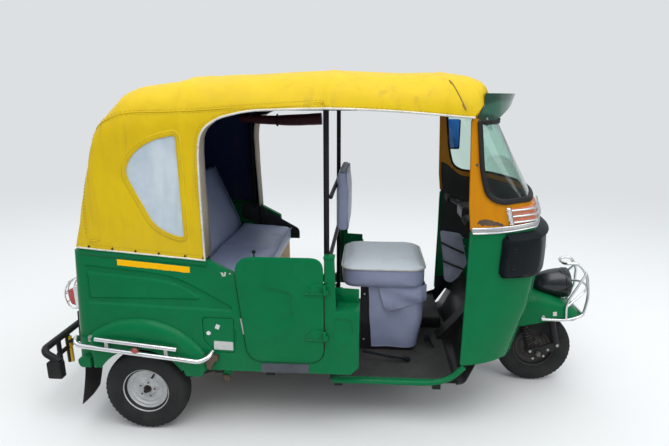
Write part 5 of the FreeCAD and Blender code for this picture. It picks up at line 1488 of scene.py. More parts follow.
# %% Hinges, knob, latch and step plate
for z in (526, 749):
    plate = round_corners([(776, z - 22), (859, z - 24), (859, z + 26), (812, z + 27), (780, z - 6)], 5)
    parts = [slab("plate", plate, -623.5, -619, bevel=1.0),
             sweep("fold", [at(780, -624, z - 20), at(858, -624, z - 21)], 3.4, 8),
             turned("knuckle", capped([(0.5, 7.5), (21, 7.5)]), at(866, -628, z), (0, 0, 1), 20),
             slab("tongue", [(846, z + 2), (866, z + 2), (866, z + 20), (846, z + 20)], -626, -620, bevel=1)]
    dress(join(f"hinge_leaf_{z}", parts, GREEN), slot="green_paint", body="right_door")
    fixed = [slab("post_leaf", round_corners([(868, z - 24), (899, z - 24), (899, z + 22), (868, z + 22)], 4),
                  -614, -609, bevel=1.0),
             turned("low_knuckle", capped([(-21, 7.5), (-0.5, 7.5)]), at(866, -628, z), (0, 0, 1), 20),
             slab("bracket", [(866, z - 20), (882, z - 20), (882, z - 2), (866, z - 2)], -630, -612, bevel=1)]
    dress(join(f"hinge_post_{z}", fixed, GREEN), slot="green_paint")
    heads(f"door_bolts_{z}", [at(x, -623, z + dz) for x, dz in ((806, 12), (842, -8), (800, -10), (842, 16))],
          (0, -1, 0), 5.0, 3.6, GREEN, "right_door", "green_paint")
    heads(f"post_bolts_{z}", [at(887, -613.5, z + dz) for dz in (-15, 12)], (0, -1, 0), 5.2, 4, GREEN,
          slot="green_paint")
knob = turned("door_knob", capped([(-6, 4), (4, 3.4), (12, 3.2), (15, 8.5), (20, 9.5), (25, 8.0), (27, 4)]),
              at(553, -607, 894), (0, 0, 1), 24)
dress(knob, PLASTIC, "dark_plastic", "right_door")
latch = slab("latch_plate", round_corners([(477, 596), (491, 592), (502, 518), (489, 516)], 4), -612.5, -608,
             bevel=0.8)
dress(latch, STEEL)
heads("latch_screws", [at(486, -612, 583), at(494, -612, 531)], (0, -1, 0), 3.6, 1.6, CASTING)
step = slab("step_plate", round_corners([(567, 326), (791, 330), (792, 376), (567, 372)], 3), -613, -609,
            bevel=0.8)
dress(step, STEP_RUBBER)

# %% [markdown]
# The tyres are 4.00-8 cross-plies with a ribbed tread: grooves run round the crown and short blocks
# break up both shoulders. A turned profile alone has no blocks, and a texture would not show at the
# edge, so the tread is cut into a grid: each point's radius depends on its place across and around.

# %% Tyres
TURN_STEPS = 192
SIDEWALL = [(30, 104), (33.4, 107.5), (37, 111), (41, 116), (43, 117), (44, 121), (47.5, 131), (50, 142),
            (51.4, 151), (51.8, 157), (50.6, 159), (51.2, 166), (50, 175), (49.4, 177), (48.6, 178),
            (47.4, 184), (45.5, 189.5)]
TREAD = [(43.5, 193), (40, 196.5), (36, 198.5), (34.5, 199), (33, 199.3), (31.5, 199.7), (27, 200.8),
         (22, 201.7), (21, 201.8), (18.5, 202.1), (17.5, 202.2), (13, 202.6), (8, 202.8), (7, 202.85),
         (4.5, 202.9), (3.5, 202.9), (0, 203)]
GROOVES = ((4.4, 7.1, 4.5), (18.3, 21.2, 4.5), (33.0, 34.6, 3.0))


def tread_cut(across, step):
    """How much lower the tread lies at a place across and around the tyre."""
    wide = abs(across)
    low = max((depth for start, end, depth in GROOVES if start <= wide <= end), default=0.0)
    if 35 < wide < 47 and step % 4 in (0, 1):
        low = max(low, 2.8)
    if 22 < wide < 33 and step % 8 in (3, 4):
        low = max(low, 2.4)
    if 7.5 < wide < 18 and step % 8 in (7, 0):
        low = max(low, 2.0)
    return low


def make_tyre(name, centre, body, node):
    """A grid round the axle whose radius carries the tread."""
    profile = SIDEWALL + TREAD
    profile = profile + [(-a, r) for a, r in profile[-2::-1]]
    profile += [(-24, 100), (24, 100)]
    rows = []
    for across, radius in profile:
        row = []
        for k in range(TURN_STEPS):
            turn = 2 * math.pi * (k + (0.5 if k % 2 else 0.1)) / TURN_STEPS
            r = radius - (tread_cut(across, k) if radius > 182 else 0.0)
            row.append(centre + Vector((math.cos(turn) * r, across, math.sin(turn) * r)) * MM)
        rows.append(row)
    rows.append(rows[0])
    dress(tidy_normals(grid(name, rows, closed=True, angle=28)), TYRE, "tyre", body, [node])


# %% [markdown]
# The wheel is a pressed disc in a rolled rim. Rings step down from the bright lip to a star-shaped
# hub with five nuts and a rusty centre. The star is the same grid with a height that follows the
# angle. The valve is a short black stem near the lip.

# %% Rims, nuts and hubs
RINGS = [(116, 33), (116, 37), (114.5, 38.5), (111, 38.5), (109, 36), (108, 31), (106.5, 27), (103, 25.5),
         (100, 23), (98.5, 17), (96, 14), (92, 14.5), (89, 16.5), (86.5, 17), (84, 15), (81, 9), (78, 6.5),
         (75, 7.5), (72, 11), (69, 12.5), (65, 11), (61, 6), (58, 4.5), (54, 4.5), (51, 5), (48, 5.5),
         (45, 6), (42, 6.5), (39, 7), (35, 7.5), (30, 9), (27, 10), (24, 11.5), (21, 12), (19, 9)]


def star_height(radius, turn):
    """Relief of the star round the hub."""
    arm = 45 + 6.5 * math.cos(5 * turn)
    lobe = 8.0 * smoothstep(arm - radius, -4, 5)
    dimple = 2.5 * smoothstep(radius, 22, 30) * smoothstep(34 - radius, 0, 6)
    return lobe - dimple


def make_rim(name, centre, out, body, paint, node):
    """Disc, barrel, hub, nuts and valve as one piece."""
    rows = []
    for radius, along in RINGS:
        row = []
        for k in range(120):
            turn = 2 * math.pi * k / 120
            y = (along + (star_height(radius, turn) if radius < 56 else 0.0)) * out
            row.append(centre + Vector((math.cos(turn) * radius, y, math.sin(turn) * radius)) * MM)
        rows.append(row)
    face = grid("face", rows, closed=True, angle=60, flip=out > 0)
    back = turned("back", [(-33 * out, 116), (-37 * out, 116), (-38 * out, 112), (-35 * out, 108),
                           (-28 * out, 104), (-22 * out, 97), (0, 96), (10 * out, 90), (2 * out, 84),
                           (0, 60), (2 * out, 19)], centre, sides=64)
    barrel = turned("barrel", [(33 * out, 116), (20 * out, 101), (-20 * out, 101), (-33 * out, 116)], centre)
    for part in (face, back, barrel):
        part.data.materials.append(paint)
    hub = turned("hub", capped([(-30 * out, 62), (-6 * out, 64), (-4 * out, 22), (12 * out, 21),
                                (17 * out, 19), (19 * out, 12), (25 * out, 9.8)]), centre, sides=40)
    hub.data.materials.append(RUSTY)
    parts = [face, back, barrel, hub]
    for k in range(5):
        turn = 2 * math.pi * k / 5 + 0.1
        place = centre + Vector((math.cos(turn) * 37, 12 * out, math.sin(turn) * 37)) * MM
        nut = turned("nut", capped([(0, 8), (8.5 * out, 8), (10 * out, 6.5)]), place, sides=6, angle=20)
        stud = turned("stud", capped([(8 * out, 4.2), (15 * out, 4.2), (16 * out, 3)]), place, sides=12)
        for part, finish in ((nut, paint), (stud, RUSTY)):
            part.data.materials.append(finish)
            parts.append(part)
    stem = centre + Vector((41, 22 * out, 82)) * MM
    valve = sweep("valve", [stem, stem + Vector((-4, 10 * out, -9)) * MM,
                            stem + Vector((-9, 16 * out, -14)) * MM], [4.5, 6, 5], 10)
    valve.data.materials.append(RUBBER)
    parts.append(valve)
    dress(join(name, parts), slot="wheel_silver" if paint is RIM_SILVER else "wheel_dark", body=body,
          replaces=[node])


# %% Dress the three wheels
FRONT_AXLE_X, TRACK_HALF = 2000, 576.5
WHEELS = [("rear_right", "rear_wheel_right", -TRACK_HALF, -1, RIM_SILVER, 0),
          ("rear_left", "rear_wheel_left", TRACK_HALF, 1, RIM_SILVER, 0),
          ("front", "front_wheel", 0, -1, RIM_BLACK, FRONT_AXLE_X)]
for word, body, y, out, paint, x in WHEELS:
    middle = at(x, y, AXLE_Z)
    make_tyre(f"{word}_treaded_tyre", middle, body, f"{word}_tyre")
    make_rim(f"{word}_wheel_disc", middle, out, body, paint, f"{word}_rim")
print("wheels dressed:", len(WHEELS))

# %% [markdown]
# The front is a curved steel shell: seen from above, each level is three arcs that meet at soft
# corners. Lamp covers, chrome strips, the windscreen's rubber and the indicators all follow that
# shell. A curve projected on a mesh would do; here the shell's own arcs are written once more, so a
# place is given as a distance round from the nose, a height and a distance out.

# %% Places on the front shell
FRONT_ROWS = np.array([(340, 1505, 510, 1735, 400, 1862), (610, 1508, 510, 1811, 400, 1928),
                       (745, 1510, 510, 1827, 400, 1943), (930, 1510, 510, 1825, 400, 1938),
                       (1008, 1511, 510, 1820, 400, 1914), (1110, 1500, 510, 1793, 400, 1876),
                       (1491.7, 1487, 498, 1598, 400, 1664)])


def arc_through(a, b, c, count):
    """Points of the circle's arc from a through b to c."""
    (ax, ay), (bx, by), (cx, cy) = a, b, c
    d = 2 * (ax * (by - cy) + bx * (cy - ay) + cx * (ay - by))
    sa, sb, sc = ax * ax + ay * ay, bx * bx + by * by, cx * cx + cy * cy
    mx = (sa * (by - cy) + sb * (cy - ay) + sc * (ay - by)) / d
    my = (sa * (cx - bx) + sb * (ax - cx) + sc * (bx - ax)) / d
    start, mid, end = (math.atan2(p[1] - my, p[0] - mx) for p in (a, b, c))
    turn = (end - start) % (2 * math.pi)
    if (mid - start) % (2 * math.pi) > turn:
        turn -= 2 * math.pi
    radius = math.hypot(ax - mx, ay - my)
    return [(mx + radius * math.cos(t), my + radius * math.sin(t))
            for t in (start + turn * k / count for k in range(count + 1))]


def front_level(z, cache={}):
    """Right half of the shell at a height, from the nose back, with the distance gone."""
    key = round(z, 1)
    if key not in cache:
        rear, half, cx, cy, nose = (np.interp(z, FRONT_ROWS[:, 0], FRONT_ROWS[:, k]) for k in range(1, 6))
        front = arc_through((cx, -cy), (nose, 0), (cx, cy), 48)[:25][::-1]
        belly = (rear + (cx - rear) * 0.55, -(half - (half - cy) * 0.34))
        line = np.array(front + arc_through((cx, -cy), belly, (rear, -half), 24)[1:])
        gone = np.concatenate([[0], np.cumsum(np.hypot(*np.diff(line, axis=0).T))])
        cache[key] = line, gone
    return cache[key]


def front_point(u, z, out, side=-1):
    """u millimetres round from the nose; a negative u lies on the other side of the nose."""
    if u < 0:
        u, side = -u, -side
    line, gone = front_level(z)
    x, y = np.interp(u, gone, line[:, 0]), np.interp(u, gone, line[:, 1])
    ahead, behind = min(u + 8, gone[-1]), max(u - 8, 0)
    tx = np.interp(ahead, gone, line[:, 0]) - np.interp(behind, gone, line[:, 0])
    ty = np.interp(ahead, gone, line[:, 1]) - np.interp(behind, gone, line[:, 1])
    if u < 8:
        tx = 0.0
    length = math.hypot(tx, ty)
    x, y = x - ty / length * out, y + tx / length * out
    return at(x, -y * side, z)


def round_at(x, z):
    """Distance round from the nose where the shell's side has this x."""
    line, gone = front_level(z)
    return float(np.interp(-x, -line[:, 0], gone))


def half_round(z):
    """Distance round from the nose to the shell's rear edge."""
    return front_level(z)[1][-1]


# %% Shells that lie on the front
def belt_z(u, base):
    """The two-colour line climbs a little towards the nose."""
    return base + 14 * smoothstep(700 - abs(u), 0, 420)


def on_front(name, outline, relief, spacing=10, side=-1, thick=2.0, holes=()):
    """A shell on the front: outline in distance round and height, relief gives the way out."""
    flat, faces = net(outline, spacing, holes)
    piece = new_piece(name, [front_point(u, z, relief(u, z), side) for u, z in flat], faces, 40)
    middle = at(1600, 0, 800)
    return smooth(thickened(turn_out(piece, lambda place: place - middle), thick, -1.0), 40)


def swollen(outline, height, width):
    """Relief that rises from the outline on a quarter round."""
    loop = outline + outline[:1]

    def relief(u, z):
        share = min(1.0, distance_to(u, z, loop) / width)
        return 0.6 + height * math.sqrt(1 - (1 - share) ** 2)
    return relief


# %% Lower and upper front shells
def shell_edge(low, high, side, step=22):
    """Rear edge of the shell as places round and up."""
    return [(side * half_round(z), z) for z in np.arange(low, high + 1, step)]


reach = half_round(1000)
belt_line = [(u, belt_z(u, 1002)) for u in np.linspace(-reach, reach, 60)]
arch_line = [(-332, 340), (-332, 520), (-318, 575), (-270, 615), (-230, 625), (230, 625), (270, 615),
             (318, 575), (332, 520), (332, 340)]
lower = shell_edge(340, 990, -1) + belt_line + shell_edge(340, 990, 1)[::-1] + arch_line[::-1]
dress(on_front("cowl_skin", lower, level, 15, thick=9), GREEN, replaces=["front_cowl"])
SCREEN_SIDE = round_corners([(1520, 1472), (1542, 1265), (1572, 1160), (1632, 1126), (1760, 1130)],
                            [0, 60, 70, 70, 0], steps=8)
opening = [(round_at(x, z), z) for x, z in SCREEN_SIDE]
SCREEN_LINE = opening + [(u, 1130 + 8 * (1 - abs(u) / opening[-1][0])) for u in
                         np.linspace(opening[-1][0], -opening[-1][0], 40)[1:-1]]
SCREEN_LINE += [(-u, z) for u, z in opening[::-1]]
SCREEN_LINE += [(u, 1472) for u in np.linspace(-opening[0][0], opening[0][0], 40)[1:-1]]
top_reach = half_round(1491)
upper = shell_edge(1018, 1490, -1) + [(u, 1491) for u in np.linspace(-top_reach, top_reach, 50)]
upper += shell_edge(1018, 1490, 1)[::-1] + belt_line[::-1]
dress(on_front("upper_skin", upper, level, 15, thick=9, holes=[SCREEN_LINE]), ORANGE,
      replaces=["front_upper"])
print("front skins dressed")

# %% Roof plate, windscreen and inner trim
lid_reach = half_round(1489)
roof_plate = [front_point(u, 1489, -2) for u in np.linspace(lid_reach, -lid_reach, 40)]
plate = new_piece("upper_lid", roof_plate, [tuple(range(len(roof_plate)))])
dress(thickened(plate, 3), ORANGE)
flat, faces = net(grown(SCREEN_LINE, 4), 16)
glass = new_piece("windscreen_glass", [front_point(u, z, -4.0) for u, z in flat], faces, 60)
dress(smooth(thickened(glass, 4), 60), GLASS, replaces=["windscreen"])
seal = [front_point(u, z, 2.0) for u, z in SCREEN_LINE]
dress(sweep("windscreen_rubber", seal, 14, 10, closed=True, flat=0.6), RUBBER)
inner = [front_point(u, z, 5.5) for u, z in grown(SCREEN_LINE, -5)]
dress(sweep("windscreen_bead", inner, 5.0, 8, closed=True), RUBBER)
TRIM_LOW, TRIM_HIGH, TRIM_PILLAR = 700, 1098, 84
trim_rows = []
for t in np.linspace(0, 1, 22):
    row = []
    for s in np.linspace(-1, 1, 80):
        z = TRIM_LOW + (TRIM_HIGH - TRIM_LOW + TRIM_PILLAR * smoothstep(abs(s), 0.80, 1.0)) * t
        row.append(front_point(s * (half_round(z) - 10), z, -15))
    trim_rows.append(row)
dress(thickened(grid("inner_trim", trim_rows, angle=60), 3), DARK_LINING)

# %% Chrome strips and indicators
for base in (1012, 990):
    run = [front_point(u, belt_z(u, base), 4.0) for u in np.linspace(reach - 4, 4 - reach, 110)]
    dress(sweep(f"chrome_strip_{base}", run, 4.6, 8), CHROME)
band = [[front_point(u, belt_z(u, base), 3.0) for u in np.linspace(reach - 2, 2 - reach, 110)]
        for base in (992, 1010)]
dress(thickened(grid("bright_band", band), 2.2), STEEL)
BAR_END = round_at(1688, 1060)
INDICATOR = [(200, 1030), (BAR_END, 1024), (BAR_END, 1098), (200, 1108)]


def make_indicator(side, word):
    """One amber lens with three bright bars and an end cap."""
    lens_line = round_corners(INDICATOR, 8, 3)
    dome = swollen(lens_line, 12, 10)

    def ribbed(u, z):
        return dome(u, z) - 3.5 * abs(math.sin((z - 1036) / 27 * 3.14159))

    lens = on_front(f"indicator_{word}", lens_line, ribbed, 7, side)
    dress(lens, AMBER, replaces=["indicators"] if side < 0 else ())
    for k, z in enumerate((1036, 1063, 1090)):
        flare = []
        for u in np.linspace(BAR_END, 196, 40):
            near_nose = smoothstep(420 - u, 0, 200)
            flare.append(front_point(u, z + 12 * near_nose, 13 + 6 * near_nose, side))
        dress(sweep(f"indicator_bar_{word}_{k}", flare, 5.0, 8, flat=0.8), CHROME)
    cap = round_corners([(BAR_END - 6, 1018), (BAR_END + 18, 1020), (BAR_END + 16, 1102),
                         (BAR_END - 6, 1104)], 8, 3)
    dress(on_front(f"indicator_cap_{word}", cap, swollen(cap, 13, 9), 6, side), CHROME)


on_both_sides(make_indicator)
rust_line = [(1534, 1034), (1552, 1027), (1600, 1022), (1644, 1020), (1652, 1026), (1630, 1038), (1596, 1049),
             (1570, 1052), (1546, 1047)]
rust = [(round_at(x, 1035) + random.uniform(-2, 2), z + random.uniform(-3.5, 3.5))
        for x, z in divided(rust_line, 7)]
dress(on_front("rust_patch", rust, lambda u, z: 0.8, 6, -1, 0.8), RUSTY, "yellow_paint")

# %% [markdown]
# Each lamp cover is a domed black shell with rounded corners, and a brim runs over both. The dome
# rises from its outline on a quarter round and keeps bulging a little towards its middle.

# %% Lamp covers and brim
COVER = round_corners([(226, 762), (420, 762), (602, 778), (614, 806), (602, 966), (226, 974)],
                      [20, 60, 34, 20, 26, 20])


def make_cover(side, word):
    """One lamp cover with its lip, two screws and a small pale spot."""
    dome = swollen(COVER, 27, 15)

    def bulging(u, z):
        bulge = 7 * math.cos((z - 872) / 64) * math.cos((u - 410) / 130)
        return dome(u, z) + bulge if abs(u - 410) < 200 else dome(u, z)

    cover = on_front(f"lamp_cover_{word}", COVER, bulging, 9, side, 3)
    dress(cover, PLASTIC, replaces=["lamp_housings"] if side < 0 else ())
    edge = [front_point(u, z, 3.5, side) for u, z in divided(grown(COVER, 2), 12)]
    dress(sweep(f"cover_lip_{word}", edge, 3.4, 8, closed=True), PLASTIC)
    for k, z in enumerate((908, 830)):
        place = front_point(round_at(1702, z), z, 29, side)
        face = (front_point(round_at(1702, z), z, 34, side) - place).normalized()
        cup = turned(f"cover_screw_{word}_{k}", capped([(-3, 10.5), (2.6, 10.0), (3.0, 8.0), (-1.0, 6.0)]),
                     place, face, 20)
        dress(cup, RUBBER, "dark_plastic")
    spot_line = round_corners([(286, 866), (296, 866), (296, 888), (286, 888)], 3, 3)
    dress(on_front(f"cover_spot_{word}", spot_line, lambda u, z: 35.2, 4, side, 1.0), BLANK_PLATE)


on_both_sides(make_cover)
brim_rows = []
for u in np.linspace(585, -585, 120):
    w = smoothstep(600 - abs(u), 0, 330)
    profile = [(986, 1), (981, 8 + 6 * w), (968, 21 + 14 * w), (958, 25 + 19 * w), (953, 24 + 18 * w),
               (956, 18 + 10 * w), (962, 6)]
    brim_rows.append([front_point(u, z - (1 - w) * 4, out) for z, out in profile])
brim = tidy_normals(grid("lamp_brim", brim_rows, closed=True, angle=30))
dress(brim, PLASTIC)
mask_line = round_corners([(-224, 704), (224, 704), (224, 974), (-224, 974)], 26)
mask_dome = swollen(mask_line, 17, 12)
dress(on_front("mask_skin", mask_line, mask_dome, 10, -1, 3), GLOSS_BLACK,
      replaces=["front_mask"])
EDGE_BELT_Z = 1004
for side, word in SIDES:
    run = [front_point(half_round(z), z, -4, side) for z in np.linspace(346, 1480, 80)]
    below = [p for p in run if p.z < EDGE_BELT_Z * MM]
    above = [p for p in run if p.z > (EDGE_BELT_Z - 1) * MM]
    for k, (part, finish) in enumerate(((below, GREEN), (above, ORANGE))):
        dress(sweep(f"cowl_edge_{word}_{k}", part, 5.5, 8), finish)
print("front shell dressed")

# %% [markdown]
# The headlamp is a spun bullet on the mudguard: round behind, nearly a cylinder in front, with a
# bright bezel and a glass that bulges. The guard in front of it is bent tube welded into a basket.

# %% Headlamp
LAMP_BACK = at(1966, 0, 576)
LAMP_AXIS = Vector((1, 0, 0.05))
shell = [(0, 0), (1.5, 12), (10, 30), (28, 48), (56, 63), (92, 73), (130, 78.5), (158, 80), (160, 82.5),
         (184, 82.5), (187, 80), (187, 74), (180, 72), (150, 50), (142, 0)]
lamp = turned("headlamp_shell", shell, LAMP_BACK, LAMP_AXIS, 72)
dress(lamp, GLOSS_BLACK, "dark_plastic", "steering", ["headlamp"])
bowl = [(150, 0.5), (152, 30), (164, 56), (179, 71.5), (177, 71.6), (160, 57), (148, 28), (146, 0.5)]
dress(turned("headlamp_bowl", bowl, LAMP_BACK, LAMP_AXIS, 60), CHROME, "dark_plastic", "steering")
dome = [(180, 72), (185, 64), (190, 46), (193, 22), (194, 0.5), (191, 0.5), (190, 22), (187, 46), (182, 64),
        (177, 71)]
dress(turned("headlamp_glass", dome, LAMP_BACK, LAMP_AXIS, 60), GLASS, "dark_plastic", "steering")
foot = turned("headlamp_foot", capped([(0, 30), (8, 26), (20, 17), (40, 16)]), at(2052, 0, 508),
              (0, 0, 1), 24)
dress(foot, PLASTIC, "dark_plastic", "steering")

# %% Front mudguard
TOP_LINE = [(1848, 470), (1862, 520), (1900, 546), (1960, 550), (2030, 536), (2110, 508), (2180, 468),
            (2222, 428)]
LOW_LINE = [(1848, 366), (1880, 370), (1950, 388), (2020, 404), (2110, 411), (2180, 412), (2222, 414)]
skin_rows = []
for x in np.linspace(1848, 2222, 54):
    top = float(np.interp(x, *zip(*TOP_LINE)))
    low = float(np.interp(x, *zip(*LOW_LINE)))
    front = smoothstep(x, 2120, 2222)
    half = 124 - 46 * front ** 2 - 10 * smoothstep(1900 - x, 0, 60)
    high = max(top, low + 6)
    row = []
    for t in np.linspace(-1, 1, 41):
        s = abs(t)
        y = half * min(1.0, s / 0.62) ** 0.9 if s < 0.62 else half
        shoulder = 1 - math.sqrt(max(0.0, 1 - min(1.0, s / 0.64) ** 3.2))
        z = high - (high - low) * (0.42 * shoulder if s < 0.64 else 0.42 + 0.58 * (s - 0.64) / 0.36)
        ridge = 5 * math.exp(-((y / 20) ** 2)) * (1 - front)
        swell = 2.5 * math.exp(-(((x - 1990) / 70) ** 2)) * smoothstep(s, 0.5, 0.8)
        row.append(at(x, math.copysign(y + swell, t) if s > 0.01 else 0.0, z + ridge))
    skin_rows.append(row)
guard = tidy_normals(grid("mudguard_skin", skin_rows, angle=40))
thickened(turn_out(guard, lambda place: Vector((0, 0, 1))), 3, -1.0)
dress(smooth(guard, 40), GREEN, "green_paint", "steering", ["front_mudguard"])
for side, word in SIDES:
    rim_run = [row[0 if side < 0 else -1] + Vector((0, 0, 0.001)) for row in skin_rows]
    dress(sweep(f"mudguard_bead_{word}", rim_run, 3.2, 8), GREEN, "green_paint", "steering")
for side, name in ((-1, "mudguard_bolts"), (1, "mudguard_bolts_left")):
    heads(name, [at(2001, side * 125, 428)], (0, side, 0), 12, 8, STEEL, "steering")
dress(slab("mudguard_label", [(2052, 436), (2072, 438), (2070, 461), (2050, 459)], -127, -124.4, bevel=0.3),
      BLANK_PLATE, "dark_plastic", "steering")

# %% Headlamp guard
for side, word in SIDES:
    hoop = [at(x, side * out, z) for x, out, z in (
        (1992, 131, 418), (2122, 131, 416), (2212, 116, 436), (2236, 96, 540), (2226, 76, 655),
        (2180, 62, 714), (2122, 50, 708), (2112, 26, 704), (2110, 2, 704))]
    dress(sweep(f"guard_hoop_{word}", rounded(hoop, 34), 7.6, 12), CHROME, "chrome", "steering",
          ["headlamp_guard"] if side < 0 else ())
    brace = [at(x, side * out, z) for x, out, z in ((2120, 130, 420), (2114, 128, 510), (2222, 78, 668))]
    dress(sweep(f"guard_brace_{word}", rounded(brace, 30), 6.4, 12), CHROME, "chrome", "steering")
belt = [at(2117, -128, 490), at(2200, -104, 560), at(2250, -46, 578), at(2250, 46, 578), at(2200, 104, 560),
        at(2117, 128, 490)]
dress(sweep("guard_belt", rounded(belt, 60), 6.0, 12), CHROME, "chrome", "steering")
dress(rod("guard_bar", at(2216, -113, 440), at(2216, 113, 440), 6.4), CHROME, "chrome", "steering")

print("lamp, mudguard and guard dressed")

# %% Coil spring, link and hub details at the front wheel
foot_at, top_at = at(1955, -95, 236), at(1912, -95, 398)


def coil(name, low, high, radius, wire, turns, finish, body="chassis"):
    """A wound wire spring between two points."""
    way = high - low
    ahead = way.normalized()
    side = ahead.orthogonal().normalized()
    up = ahead.cross(side)
    route = []
    for k in range(turns * 16 + 1):
        t = 2 * math.pi * k / 16
        route.append(low + way * (k / (turns * 16)) + (side * math.cos(t) + up * math.sin(t)) * (radius * MM))
    return dress(sweep(name, route, wire, 7), finish, "black_paint", body)


coil("front_spring", foot_at, top_at, 22, 3.6, 10, BLACK, "steering")
heads("link_bolts", [at(1955, -110, 218), at(2096, -112, 258)], (0, -1, 0), 9, 9, STEEL, "steering")
heads("axle_nut", [at(FRONT_AXLE_X, -112, AXLE_Z)], (0, -1, 0), 15, 14, CASTING, "steering")
heads("brake_bits", [at(2030, -108, 190), at(1976, -104, 172), at(2052, -104, 226)], (0, -1, 0), 8, 7, STEEL,
      "steering")

# %% Grips, levers, the mirror's back and screws at the pillar
for side, word in SIDES:
    ridges = capped([(k * 6.0, 18.5 if k % 2 else 16.5) for k in range(20)])
    grip = turned(f"grip_{word}", ridges, at(1530, side * 243, 992), (0, side, 0), 24)
    dress(grip, RUBBER, "rubber", "steering")
    lever_line = rounded([at(1560, side * 190, 985), at(1592, side * 260, 978),
                          at(1588, side * 352, 970)], 30)
    tapering = [8 - 3 * k / len(lever_line) for k in range(len(lever_line))]
    dress(sweep(f"lever_{word}", lever_line, tapering, 10, flat=0.7), CASTING, "black_paint", "steering")
mirror_line = round_corners([(1540, 1262), (1624, 1262), (1624, 1442), (1540, 1442)], 10)
dress(slab("mirror_back", mirror_line, 611, 615.5, bevel=1.5), BLUE_CAP)
heads("pillar_screws", [front_point(round_at(1517, z), z, 0.5) for z in (1293, 1478)], (0, -1, 0), 6, 3,
      CASTING)
heads("visor_bolt", [front_point(round_at(1545, 1486), 1486, 6)], (0, -1, 0), 8, 6, STEEL)

# %% [markdown]
# Between the canopy's front edge and the visor an orange header shows. It is found with the same
# rays as the cloth, cast in the slanting plane of that edge.

# %% Orange header under the canopy's front edge
def header_loop(shift, scale):
    """One loop of the header, drawn in towards its lower middle by a scale."""
    low_end, high_end = np.array([1481.0 + shift, 0.0, 1492.0]), np.array([1606.0 + shift, 0.0, 1626.0])
    up = (high_end - low_end) / np.linalg.norm(high_end - low_end)
    turns = np.linspace(0.0, math.pi, 60)
    ways = np.array([(up[0] * math.sin(t), -math.cos(t), up[2] * math.sin(t)) for t in turns])
    hits = cast(np.tile(low_end + up * 2, (60, 1)), ways)
    return [at(*(low_end + (hit - low_end) * scale)) for hit in hits]


header = grid("front_header", [header_loop(-16, 0.985), header_loop(10, 0.965), header_loop(26, 0.93),
                               header_loop(26, 0.5), header_loop(26, 0.02)], angle=30)
dress(thickened(header, 2), ORANGE)

# %% [markdown]
# The seats are foam in sewn vinyl covers. Each cover has a seam that runs round it; between the
# seams the foam pushes the vinyl out, so the top is crowned and the sides draw in at the corners.
# A rounded block shows none of that. Here the cover is simulated: a slightly smaller block with an
# even mesh, seams held still, air pressure inside, no gravity, and a limit on how far it may swell.

# %% Stuffed covers
COVER_PRESSURE = 4.0
SIM_FRAMES = 20


def stuffed(name, start, voxel, cap, seam):
    """A block swollen between its held seams; seam(x, y, z) in millimetres tells what is sewn."""
    modified(start, "REMESH", mode="VOXEL", voxel_size=voxel * MM)
    start.name = name
    rest = [v.co.copy() for v in start.data.vertices]
    held = [v.index for v in start.data.vertices if seam(*workshop(v.co))]
    pinned = start.vertex_groups.new(name="seams")
    pinned.add(held, 1.0, "REPLACE")
    cloth = start.modifiers.new("cover", "CLOTH")
    cloth.settings.vertex_group_mass = "seams"
    cloth.settings.use_pressure = True
    cloth.settings.uniform_pressure_force = COVER_PRESSURE
    cloth.settings.effector_weights.gravity = 0.0
    cloth.settings.quality = 4
    for frame_number in range(1, SIM_FRAMES + 1):
        scene.frame_set(frame_number)
    settle(start)
    for v, place in zip(start.data.vertices, rest):
        step = v.co - place
        length = step.length
        if length > 0:
            v.co = place + step * (cap * MM * math.tanh(length / (cap * MM)) / length)
    start.vertex_groups.clear()
    modified(start, "SUBSURF", levels=1)
    scene.frame_set(1)
    return smooth(start, 60)


def lit_top_over_side(piece, upper, lower, is_upper):
    """One finish above the seam and another below it; on the seat the upper one is a paler copy of the vinyl,
    a painted highlight of sky light.
    """
    piece.data.materials.clear()
    piece.data.materials.append(lower)
    piece.data.materials.append(upper)
    for face in piece.data.polygons:
        face.material_index = 1 if is_upper(*workshop(face.center)) else 0


def ring(x0, x1, y0, y1, z, bend):
    """A level loop with rounded corners."""
    corners = [at(x0, y0, z), at(x1, y0, z), at(x1, y1, z), at(x0, y1, z)]
    return rounded(corners, bend, steps=8, closed=True)


# %% Driver's seat: grey-blue vinyl with its top painted pale as sky light, white piping
PIPE_Z = 716
seat_line = round_corners([(922, -242), (1354, -242), (1354, 242), (922, 242)], 86, 10)
cushion = slab("driver_seat", seat_line, 612, 736, plane="top", bevel=26, segments=5)
cushion = stuffed("driver_seat", cushion, 8.0, 15.0, lambda x, y, z: abs(z - PIPE_Z) < 5 or z < 618)
# Above the piping the cushion takes the paler copy: painted sky light on its top.
lit_top_over_side(cushion, SEAT_TOP_PAINTED_SKYLIGHT, SEAT_SIDE, lambda x, y, z: z > PIPE_Z)
dress(cushion, slot="seat_vinyl", replaces=["driver_cushion"])
dress(sweep("driver_seat_piping", ring(919, 1357, -245, 245, PIPE_Z, 86), 4.2, 8, closed=True), PIPING,
      "seat_vinyl")
dress(sweep("driver_seat_hem", ring(925, 1351, -239, 239, 636, 82), 1.6, 6, closed=True), SEAT_SIDE)
rest_line = round_corners([(897, 912), (950, 912), (953, 1120), (938, 1216), (899, 1216)],
                          [20, 22, 60, 26, 24])
back = slab("driver_rest", rest_line, -212, 212, bevel=20, segments=5)
back = stuffed("driver_rest", back, 8.0, 8.0, lambda x, y, z: abs(abs(y) - 207) < 6)
dress(back, SEAT_SIDE, replaces=["driver_backrest"])
loop = rounded([at(950, -209, 917), at(950, 209, 917), at(942, 209, 1210), at(942, -209, 1210)], 26,
               closed=True)
dress(sweep("driver_rest_seam", loop, 2.4, 6, closed=True), SEAT_SIDE)

